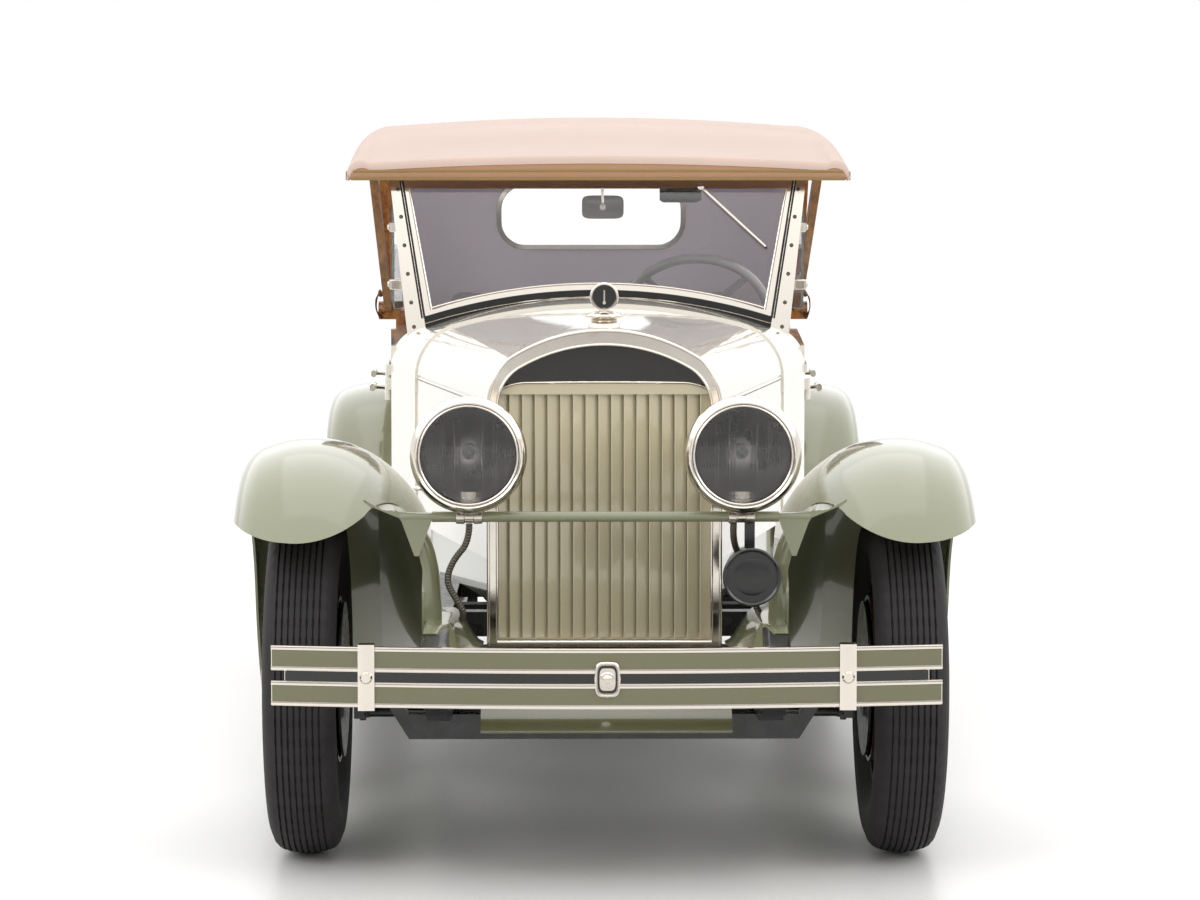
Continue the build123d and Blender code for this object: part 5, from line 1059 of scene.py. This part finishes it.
# Smooth run of the table's values between its stations
def roofAt(s):
    stations = roofTable[:, 0]
    s = min(max(s, stations[0]), stations[-1])
    i = min(int(np.searchsorted(stations, s, side="right")) - 1, len(stations) - 2)
    h = stations[i + 1] - stations[i]
    t = (s - stations[i]) / h
    slopes = np.gradient(roofTable[:, 1:], stations, axis=0)
    a, b = roofTable[i, 1:], roofTable[i + 1, 1:]
    return ((1 + 2 * t) * (1 - t) ** 2 * a + t * t * (3 - 2 * t) * b
            + h * t * (1 - t) ** 2 * slopes[i] - h * t * t * (1 - t) * slopes[i + 1])


# Section of the roof at a station, dipped between the bows
def roofOutline(s):
    half, edge, sideTop, corner, crown = roofAt(s)
    outline = archCurve((half, sideTop, half - topCloth["shoulder"], corner, crown), edge)
    bows = topCloth["bows"]
    i = max(k for k in range(len(bows) - 1) if bows[k] <= s + 0.01) if s < bows[-1] else len(bows) - 2
    t = min(max((s - bows[i]) / (bows[i + 1] - bows[i]), 0), 1)
    dip = topCloth["sag"] * math.sin(math.pi * t) ** 2
    return [(x, z - dip * max(0.0, 1 - (x / (half - 0.05)) ** 2) ** 0.5) for x, z in outline]


# A single sheet gets its wall inwards, with the lining on the inner face
def linedSheet(name, rows, faces, thickness, cutter=None):
    mesh = bpy.data.meshes.new(name)
    mesh.from_pydata([p for row in rows for p in row], [], [tuple(reversed(f)) for f in faces])
    for finish in (tanCanvas, paintedLightLining):
        mesh.materials.append(finish)
    holder = newObject(name, mesh)
    wall = holder.modifiers.new("wall", "SOLIDIFY")
    wall.thickness, wall.offset, wall.material_offset, wall.use_even_offset = thickness, -1.0, 1, False
    if cutter:
        hole = holder.modifiers.new("hole", "BOOLEAN")
        hole.object, hole.operation, hole.solver = cutter, "DIFFERENCE", "EXACT"
    made = applied(holder)
    made.name = name
    return finishPiece(name, made, None, 50)


rows = []
roll = topCloth["roll"]
rollEnd = topCloth["front"] + 1000 * roll
outline = roofOutline(rollEnd)
for k in range(8):  # the front edge rolls over the header
    turn = math.pi / 2 * (1 - k / 8)
    y = at(topCloth["front"] + 1000 * roll * (1 - math.sin(turn)) + 2)
    lift = roll * (1 - math.cos(turn))
    rows.append([(x * (1 - 0.35 * lift), y, z - lift * (1 if 1 < i < len(outline) - 2 else 0.2))
                 for i, (x, z) in enumerate(outline)])
for k in range(89):
    s = rollEnd + 6 + (topCloth["last"] - rollEnd - 6) * k / 88
    rows.append([(x, at(s), z) for x, z in roofOutline(s)])
topCanvas = linedSheet("topCanvas", rows, gridFaces(len(rows), len(rows[0]), False), topCloth["sheet"])
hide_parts("top_roof")

headerRail = {"y": at(1336), "deep": 0.022, "low": 1.622, "belly": 0.005, "under": 0.017, "narrow": 0.992}
low, y = headerRail["low"], headerRail["y"]
rows = []
for x, z in outline[2:-2]:
    x = x * headerRail["narrow"]
    tall = max(z - headerRail["under"], low + 0.004) - low
    shares = [j / 6 for j in range(7)]
    row = [(x, y - headerRail["belly"] * math.sin(math.pi * t), low + tall * t) for t in shares]
    row += [(x, y + headerRail["deep"], low + tall * (1 - t)) for t in shares]
    rows.append(row)
headerBand = putPiece("headerBand", tubed(rows), tanBinding, 40)
headerWelt = {"y": at(1333), "z": 1.6445, "crown": 0.002, "half": 0.676, "radius": 0.0042}
footWelt = {"y": at(1334), "z": 1.6235, "crown": 0.0, "half": 0.682, "radius": 0.0038}
welts = []
for size, steps in ((headerWelt, 40), (footWelt, 24)):
    xs = np.linspace(-size["half"], size["half"], steps)
    line = [(x, size["y"], size["z"] + size["crown"] * (1 - (x / 0.69) ** 2)) for x in xs]
    welts.append(carried(line, roundSection(size["radius"], 10)))
headerWelts = putPiece("headerWelts", joined(*welts), tanWelt, 60)
sideBinding = {"proud": 0.0012, "lift": 0.009, "section": (0.0045, 0.024, 0.0012)}
bindings = []
for side, hand in sides:
    line = []
    for s in np.linspace(rollEnd, topCloth["last"], 50):
        half, low = roofAt(s)[:2]
        line.append((hand * (half + sideBinding["proud"]), at(s), low + sideBinding["lift"]))
    bindings.append(carried(line, boxSection(*sideBinding["section"])))
topBindings = putPiece("topBindings", joined(*bindings), tanBinding, 40)

curtain = {"low": 1.1605, "high": 1.83, "rows": 30, "sheet": 0.006, "window": (0.636, 0.223, 0.09),
           "windowZ": 1.505, "cut": (3600, 3900), "hem": 0.012, "middle": at(3300), "stud": (0.0065, 0.004),
           "frame": (0.018, 0.006, 0.002), "frameLifts": (0.001, -0.008), "frameInset": 0.002}
curtainRun = {"frontX": 628, "bendX": 556, "backX": 380, "taper": 16, "grow": (4, 22), "lean": 60,
              "frontS": 3330, "sideS": 3480, "bendS": 3690, "backS": 3775, "middleS": 3790}  # mm


# Arc through three points of a plan
def threePoint(a, b, c, steps):
    (ax, ay), (bx, by), (cx, cy) = a, b, c
    d = 2 * (ax * (by - cy) + bx * (cy - ay) + cx * (ay - by))
    aa, bb, cc = ax * ax + ay * ay, bx * bx + by * by, cx * cx + cy * cy
    ux = (aa * (by - cy) + bb * (cy - ay) + cc * (ay - by)) / d
    uy = (aa * (cx - bx) + bb * (ax - cx) + cc * (bx - ax)) / d
    r = math.hypot(ax - ux, ay - uy)
    first, mid, last = (math.atan2(p[1] - uy, p[0] - ux) for p in (a, b, c))
    while mid < first:
        mid += 2 * math.pi
    while last < first:
        last += 2 * math.pi
    if mid > last:
        last -= 2 * math.pi
    angles = [first + (last - first) * k / steps for k in range(steps + 1)]
    return [(ux + r * math.cos(angle), uy + r * math.sin(angle)) for angle in angles]


# Plan of the curtain at a height (mm): along the left side, round the quarter and across the back
def curtainPlan(z):
    t = (z - curtain["low"]) / (curtain["high"] - curtain["low"])
    run, lean = curtainRun, curtainRun["lean"] * t
    grow = run["grow"][0] + run["grow"][1] * t
    frontX, frontS = run["frontX"] + grow, run["frontS"]
    sideS, bendS, backS, middleS = (run[key] - lean for key in ("sideS", "bendS", "backS", "middleS"))
    bend, turn = (run["bendX"] + grow, bendS), (run["backX"], backS)
    side = [(frontX - run["taper"] * k / 10, frontS + (sideS - frontS) * k / 10) for k in range(10)]
    quarter = threePoint((frontX - run["taper"], sideS), bend, turn, 24)
    back = threePoint(turn, (0, middleS), (-run["backX"], backS), 40)
    half = side + quarter[:-1]
    return half + back + [(-x, s) for x, s in reversed(half)]


# Height of the roof's inner face, for the curtain's top edge
def roofUnder(x, s):
    outline = list(reversed(roofOutline(min(s, topCloth["last"]))[1:-1]))
    xs, zs = [p[0] for p in outline], [p[1] for p in outline]
    slope = abs(np.interp(x + 0.002, xs, zs) - np.interp(x - 0.002, xs, zs)) / 0.004
    return reading(x, xs, zs) - 0.0085 * math.sqrt(1 + min(slope, 2.0) ** 2)


columns = len(curtainPlan(1.5))
tops = []
for k in range(columns):
    z = 1.75
    for turn in range(6):
        x, s = curtainPlan(z)[k]
        z = min(roofUnder(x / 1000, s), 1.82)
    tops.append(z)
rows = []
for j in range(curtain["rows"] + 1):
    row = []
    for k in range(columns):
        z = curtain["low"] + (tops[k] - curtain["low"]) * j / curtain["rows"]
        x, s = curtainPlan(z)[k]
        row.append((x / 1000, at(s), z))
    rows.append(row)
wide, tall, corner = curtain["window"]
windowRing = roundedRect(wide, tall, corner)
cutRows = [[(x, at(s), curtain["windowZ"] + z) for x, z in windowRing] for s in curtain["cut"]]
cutter = newObject("windowCut", cleanMesh("windowCut", *tubed(cutRows)))
# the rows climb here, so the faces go round the other way
curtainFaces = [(a, d, c, b) for a, b, c, d in gridFaces(len(rows), columns, False)]
backCurtain = linedSheet("backCurtain", rows, curtainFaces, curtain["sheet"], cutter)
bpy.data.objects.remove(cutter)
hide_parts("back_curtain")


def curtainY(x, z):
    back = list(reversed(curtainPlan(z)[34:75]))
    return at(reading(x, [p[0] / 1000 for p in back], [p[1] for p in back]))


inset, frameSection = curtain["frameInset"], boxSection(*curtain["frame"])
surround = [(x, curtainY(x, curtain["windowZ"] + z), curtain["windowZ"] + z)
            for x, z in roundedRect(wide - 2 * inset, tall - 2 * inset, corner - inset)]
surround += surround[:2]
rims = [carried([(x, y + lift, z) for x, y, z in surround], frameSection, rearward)
        for lift in curtain["frameLifts"]]
windowSurround = putPiece("windowSurround", joined(*rims), nickelPlate, 40)
hemZ = curtain["low"] + curtain["hem"]
hem = []
for x, s in curtainPlan(hemZ):
    hem.append((x / 1000 * 1.003, at(s) + 0.002 * (at(s) - curtain["middle"]) / 0.48, hemZ))
curtainHem = putPiece("curtainHem", carried(hem, boxSection(0.006, 0.022, 0.0015)), tanBinding, 40)
fasteners, fastenerAims = [], []
for k in range(4, columns - 4, 5):
    x, y, z = hem[k]
    out = (Vector(hem[k + 1]) - Vector(hem[k - 1])).normalized().cross(Vector((0, 0, -1)))
    if out.dot(Vector((x, y - curtain["middle"], 0))) <= 0:
        out = -out
    fasteners.append((x + out.x * 0.0035, y + out.y * 0.0035, z))
    fastenerAims.append(out)
hemFasteners = putHeads("hemFasteners", fasteners, fastenerAims, *curtain["stud"], nickelSatin, 12)

strap = {"x": 0.684, "reach": 0.016, "y": at(3010) - 0.028, "twist": 0.006, "z": 1.225, "tall": 0.036,
         "band": (0.026, 0.004, 0.001)}
straps = []
for side, hand in sides:
    loop = []
    for k in range(26):  # two steps past the start, so the loop closes on itself
        t = 2 * math.pi * k / 24
        x = hand * (strap["x"] + strap["reach"] * math.cos(t))
        y = strap["y"] + strap["twist"] * math.sin(2 * t)
        loop.append((x, y, strap["z"] + strap["tall"] * math.sin(t)))
    straps.append(carried(loop, boxSection(*strap["band"]), (1, 0, 0.2)))
putPiece("bowStraps", joined(*straps), strapHide, 50)

print("stage: seats")
seatTable = {  # stations in mm, the rest in m
    "front": {"front": 1760, "back": 2380, "wide": 1.074, "base": 0.609, "cushion": 0.892, "top": 1.188},
    "rear": {"front": 3070, "back": 3700, "wide": 1.084, "base": 0.6655, "cushion": 0.882, "top": 1.268},
}
pleats = {"pitch": 0.058, "depth": 0.011, "swell": 0.016, "voxel": 0.0105, "pressure": 4.0, "frames": 20}
backPad = {"thick": 0.15, "foot": 190, "rake": 60, "rearRake": 10}


# A stuffed pad: a rounded block, remeshed, blown up as cloth and held within a small swell
def stuffedPad(name, low, high, edge):
    form = bmesh.new()
    bmesh.ops.create_cube(form, size=1.0)
    for v in form.verts:
        v.co = Vector([low[a] + (high[a] - low[a]) * (v.co[a] + 0.5) for a in range(3)])
    bmesh.ops.bevel(form, geom=form.edges[:], offset=edge, segments=4, profile=0.6, affect="EDGES")
    mesh = bpy.data.meshes.new(name)
    form.to_mesh(mesh)
    form.free()
    holder = newObject(name, mesh)
    cells = holder.modifiers.new("cells", "REMESH")
    cells.mode, cells.voxel_size = "VOXEL", pleats["voxel"]
    mesh = applied(holder)
    still = np.array([v.co[:] for v in mesh.vertices])
    holder = newObject(name, mesh)
    cloth = holder.modifiers.new("stuffing", "CLOTH")
    cloth.settings.use_pressure = True
    cloth.settings.uniform_pressure_force = pleats["pressure"]
    cloth.settings.quality = 5
    cloth.settings.effector_weights.gravity = 0.0
    cloth.point_cache.frame_start, cloth.point_cache.frame_end = 1, pleats["frames"]
    for number in range(1, pleats["frames"] + 1):
        bpy.context.scene.frame_set(number)
    mesh = applied(holder)
    bpy.context.scene.frame_set(1)
    moved = np.array([v.co[:] for v in mesh.vertices]) - still
    reach = np.linalg.norm(moved, axis=1, keepdims=True)
    return mesh, still + moved * np.minimum(1.0, pleats["swell"] / np.maximum(reach, 1e-9))


# Half width between the body's sides at a station behind the rear doors
def cabinHalf(s):
    return reading(s, (3300, 3450, 3560, 3640, 3700, 3745), (0.575, 0.556, 0.518, 0.482, 0.418, 0.36))


doorSkin = {"frontX": 0.578, "widen": 0.054, "frontS": 1430, "length": 1130,
            "bulgeX": 0.632, "bulge": 0.008, "bulgeS": 2560, "bulgeMid": 2900, "bulgeHalf": 340}


# Outer face of the doors at a station
def skinX(s):
    return doorSkin["frontX"] + doorSkin["widen"] * (s - doorSkin["frontS"]) / doorSkin["length"]


# 0 to 1 over 30 mm
def ease(distance):
    return np.clip(distance / 0.03, 0, 1)


def softSeat(place, size):
    half, swell = size["wide"] / 2, pleats["swell"] * 0.8
    backFoot = size["back"] - backPad["foot"]
    pads = {
        "cushion": ((-half + swell, at(size["front"]) + 0.012, size["cushion"] - 0.165),
                    (half - swell, at(backFoot) + 0.018, size["cushion"] - 0.03), 0.05),
        "back": ((-half + swell, 0.0, size["cushion"] - 0.10),
                 (half - swell, backPad["thick"], size["top"] - swell), 0.045),
    }
    for kind, (low, high, edge) in pads.items():
        name = f"{place}Seat_{kind}"
        mesh, points = stuffedPad(name, low, high, edge)
        x, y, z = points.T
        groove = pleats["depth"] * (1 - np.abs(np.cos(np.pi * x / pleats["pitch"])) ** 0.6)
        groove = groove * ease(half - 0.06 - np.abs(x))
        if kind == "cushion":
            z = z - groove * ease(y - low[1] - 0.07) * ease(z - high[2] + 0.03)
            z = z - 0.03 * (y - low[1]) / (high[1] - low[1])  # falls towards the back
        else:
            y = y + groove * ease(high[2] - 0.075 - z) * ease(0.045 - y)
            t = (z - size["cushion"] + 0.032) / (size["top"] - size["cushion"] + 0.032)
            fore = backFoot + backPad["rake"] * t + 12
            rear = size["back"] - backPad["rearRake"] * t - 26
            y = at(0) + (fore + (rear - fore) * y / backPad["thick"]) / 1000
        s = (y - frontAxleY) * 1000
        room = np.array([cabinHalf(v) for v in s]) if place == "rear" else skinX(s) - 0.0575
        x = x * np.minimum(1.0, room / half)
        mesh.vertices.foreach_set("co", np.stack([x, y, z], axis=1).astype(np.float32).ravel())
        mesh.update()
        pad = finishPiece(name, mesh, greyHide, 0)
        mesh.shade_smooth()
        if kind == "cushion":
            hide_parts(f"{place}_seat")
    first, last, reach = at(size["front"]) + 0.008, at(size["back"]) - 0.03, half - 0.012
    if place == "rear":
        last, reach = at(3560), 0.5
    top = size["cushion"] - 0.158
    middle = (size["base"] + top) / 2
    riser = carried([(0, first, middle), (0, last, middle)], boxSection(2 * reach, top - size["base"], 0.012))
    putPiece(f"{place}Seat_riser", riser, greyHide, 30)


for place, size in seatTable.items():
    softSeat(place, size)

print("stage: body trim")
louvres = {"count": 26, "first": 170, "pitch": 27, "tall": 0.215, "mid": 0.885, "wide": 0.013, "proud": 0.006,
           "section": ((-1.0, 0.0), (-0.2, 0.55), (0.55, 0.95), (0.9, 1.0), (1.0, 0.0)),
           "slotAlong": (0.0068, 0.0098), "slotHeights": (-0.098, 0.0, 0.098)}
hoodSide = {"frontS": 55, "frontX": 0.278, "widen": 0.211, "length": 982}
grip = {"s": 940, "step": 4, "z": 0.80, "rise": 0.022, "radius": 0.0055}
taper = math.atan2(hoodSide["widen"], hoodSide["length"] / 1000)


def hoodX(s):
    return hoodSide["frontX"] + hoodSide["widen"] * (s - hoodSide["frontS"]) / hoodSide["length"]


for side, hand in sides:
    body = f"hood_side_{side}"
    outward = Vector((hand * math.cos(taper), -math.sin(taper), 0))
    alongHood = Vector((hand * math.sin(taper), math.cos(taper), 0))
    louvre = []
    for j in range(13):
        z = louvres["tall"] * (j / 12 - 0.5)
        full = math.sqrt(max(1 - (2 * j / 12 - 1) ** 6, 0.0))
        for across, rise in louvres["section"]:
            proud = rise * full * louvres["proud"] - 0.0008
            spot = alongHood * (across * louvres["wide"] / 2) + outward * proud
            louvre.append((spot.x, spot.y, z))
    stations = [louvres["first"] + louvres["pitch"] * k for k in range(louvres["count"])]
    places = [(hand * hoodX(s), at(s), louvres["mid"]) for s in stations]
    shape = (louvre, gridFaces(13, len(louvres["section"])))
    putCopies(f"hoodLouvres_{side}", shape, places, creamLacquer, 50, body)
    # Black strips in the openings behind the louvres: painted shade of the hood's inside
    slit = [[alongHood * a + outward * 0.0005 + Vector((0, 0, z)) for a in louvres["slotAlong"]]
            for z in louvres["slotHeights"]]
    putCopies(f"louvreSlots_{side}", plated(slit, outward * -0.0009), places, blackEnamel, 0, body)
    bow = []
    for t in range(13):
        s = grip["s"] + grip["step"] * t
        rise = grip["rise"] * math.sin(math.pi * t / 12) ** 0.5
        bow.append(Vector((hand * hoodX(s), at(s), grip["z"])) + outward * rise)
    putPiece(f"hoodGrip_{side}", carried(bow, roundSection(grip["radius"], 10)), nickelPlate, 60, body)

cowlBead = {"y": at(1056), "foot": 0.72,
            "section": [(-0.007, -0.002), (0.007, -0.002), (0.006, 0.003), (0.0, 0.0052), (-0.006, 0.003)]}
hoodArch = archCurve(archTable["hoodRear"], cowlBead["foot"], 48, 0.0006)
line = [(x, cowlBead["y"], z) for x, z in hoodArch]
putPiece("cowlBead", carried(line, cowlBead["section"], rearward), creamLacquer, 50)
latch = {"x": 0.4925, "s": 1054, "heights": (1.050, 1.088), "section": (0.012, 0.009, 0.002)}
latches = []
for side, hand in sides:
    line = [(hand * latch["x"], at(latch["s"]), z) for z in latch["heights"]]
    latches.append(carried(line, boxSection(*latch["section"]), leftward))
putPiece("hoodLatches", joined(*latches), nickelPlate, 35)

handles = {"z": 1.010, "front": 2115, "rear": 2905, "out": 0.050, "ahead": 45, "half": 0.060, "bow": 0.004,
           "bar": (0.0165, 0.0215, 0.005),
           "stem": [(-0.002, 0.022), (0.002, 0.0225), (0.004, 0.018), (0.006, 0.0125), (0.03, 0.0095),
                    (0.045, 0.0095)]}
doorCards = {"front": (1520, 2150), "rear": (2310, 2940), "low": 0.585, "high": 1.138, "thick": 0.003,
             "channel": 0.0016, "back": 0.0006, "wall": 0.0456, "columns": 36, "rows": 10}
wheelArch = {"s": 3353, "radius": 0.515, "z": 0.47, "clear": 0.012}
for place in ("front", "rear"):
    for side, hand in sides:
        s = handles[place]
        skin = skinX(s)
        lever = []
        for k in range(17):
            bow = handles["bow"] * math.sin(math.pi * k / 16)
            lever.append((hand * (skin + handles["out"] + bow),
                          at(s - handles["ahead"]) + handles["half"] * (1 - 2 * k / 16), handles["z"]))
        bar = carried(lever, boxSection(*handles["bar"]))
        stem = turned(handles["stem"], (hand * skin, at(s), handles["z"]), 28, (hand, 0, 0))
        putPiece(f"doorHandle_{place}_{side}", joined(bar, stem), nickelPlate, 40, f"door_{place}_{side}")


# Inner face of the doors, which follows the body's bulge behind the middle post
def innerSkin(s):
    if s < doorSkin["bulgeS"]:
        return skinX(s) - doorCards["wall"]
    share = (s - doorSkin["bulgeMid"]) / doorSkin["bulgeHalf"]
    return doorSkin["bulgeX"] + doorSkin["bulge"] * (1 - share ** 2) - doorCards["wall"]


for place in ("front", "rear"):
    for side, hand in sides:
        first, last = doorCards[place]
        columns, tiers = doorCards["columns"], doorCards["rows"]
        rows = []
        for i in range(columns + 1):
            s = first + (last - first) * i / columns
            arch = wheelArch["radius"] ** 2 - ((wheelArch["s"] - s) / 1000) ** 2
            low = doorCards["low"]
            if arch > 0:
                low = max(low, wheelArch["z"] + math.sqrt(arch) + wheelArch["clear"])
            row = []
            for j in range(tiers + 1):
                inside = min(i, columns - i, j, tiers - j) > 0
                channel = doorCards["channel"] * (abs(math.sin(math.pi * i / 4)) if 2 < j < 9 else 0.0)
                puff = doorCards["thick"] - doorCards["channel"] + channel if inside else 0.0
                row.append((hand * (innerSkin(s) - puff), at(s), low + (doorCards["high"] - low) * j / tiers))
            rows.append(row)
        card = plated(rows, (hand * doorCards["back"], 0, 0))
        putPiece(f"doorCard_{place}_{side}", card, greyHide, 60, f"door_{place}_{side}")

boardTrim = {"first": 964, "last": 2656, "inner": 0.652, "outer": 0.858, "ribs": 15, "top": 0.357,
             "edgeX": 0.8716, "edgeZ": 0.345,
             "rib": [(-0.0042, -0.0005), (0.0042, -0.0005), (0.003, 0.0026), (-0.003, 0.0026)],
             "edge": ((-0.0012, -0.0155), (0.0022, -0.0135), (0.0028, 0.0), (0.0022, 0.0120),
                      (-0.004, 0.0135), (-0.006, 0.0128))}
reach = (boardTrim["last"] - boardTrim["first"]) / 2000
middle = at((boardTrim["first"] + boardTrim["last"]) / 2)
gap = (boardTrim["outer"] - boardTrim["inner"]) / (boardTrim["ribs"] - 1)
for side, hand in sides:
    rib = carried([(0, -reach, 0), (0, reach, 0)], boardTrim["rib"])
    places = [(hand * (boardTrim["inner"] + gap * k), middle, boardTrim["top"])
              for k in range(boardTrim["ribs"])]
    putCopies(f"boardRibs_{side}", rib, places, boardRubber, 30)
    line = [(hand * boardTrim["edgeX"], middle + end * reach, boardTrim["edgeZ"]) for end in (-1, 1)]
    edge = carried(line, [(hand * a, b) for a, b in boardTrim["edge"]])
    putPiece(f"boardEdge_{side}", edge, nickelPlate, 45)

print("stage: cabin controls")
dials = {"places": ((-0.105, 1.192, 0.034), (0.0, 1.204, 0.046), (0.105, 1.192, 0.034)), "s": 1426.5,
         "ring": ((-0.0005, 0.004), (0.004, 0.0035), (0.006, 0.0), (0.005, -0.003), (0.002, -0.0035)),
         "ticks": np.linspace(-0.7, math.pi + 0.7, 11), "tickInset": 0.009, "tickHead": (0.0018, 0.001)}
dialRings, dialFaces, ticks = [], [], []
for x, z, r in dials["places"]:
    y = at(dials["s"])
    dialRings.append(turned([(a, r + grow) for a, grow in dials["ring"]], (x, y, z), 40))
    dialFaces.append(turned([(0.0012, r - 0.002), (0.0014, 0.01), (0.0016, 0.0001)], (x, y, z), 32))
    inner = r - dials["tickInset"]
    ticks += [(x + inner * math.cos(t), y + 0.0022, z + inner * math.sin(t)) for t in dials["ticks"]]
putPiece("dialRings", joined(*dialRings), nickelPlate, 40)
putPiece("dialFaces", joined(*dialFaces), blackEnamel, 60)
putHeads("dialTicks", ticks, [rearward] * len(ticks), *dials["tickHead"], khakiEnamel, 6)
pedals = {"places": ((0.215, 0.062), (0.362, 0.062), (0.43, 0.04)), "s": 1262, "z": 0.742,
          "arm": ((1246, 0.742), (1215, 0.69)),
          "pad": [(-0.036, -0.026), (0.034, 0.030), (0.026, 0.040), (-0.044, -0.016)]}
pedalShapes = []
for x, wide in pedals["places"]:
    padLine = [(x + end * wide / 2, at(pedals["s"]), pedals["z"]) for end in (-1, 1)]
    armLine = [(x, at(s), z) for s, z in pedals["arm"]]
    pedalShapes.append(carried(padLine, pedals["pad"]))
    pedalShapes.append(carried(armLine, boxSection(0.012, 0.010, 0.002), leftward))
putPiece("footPedals", joined(*pedalShapes), blackEnamel, 30)
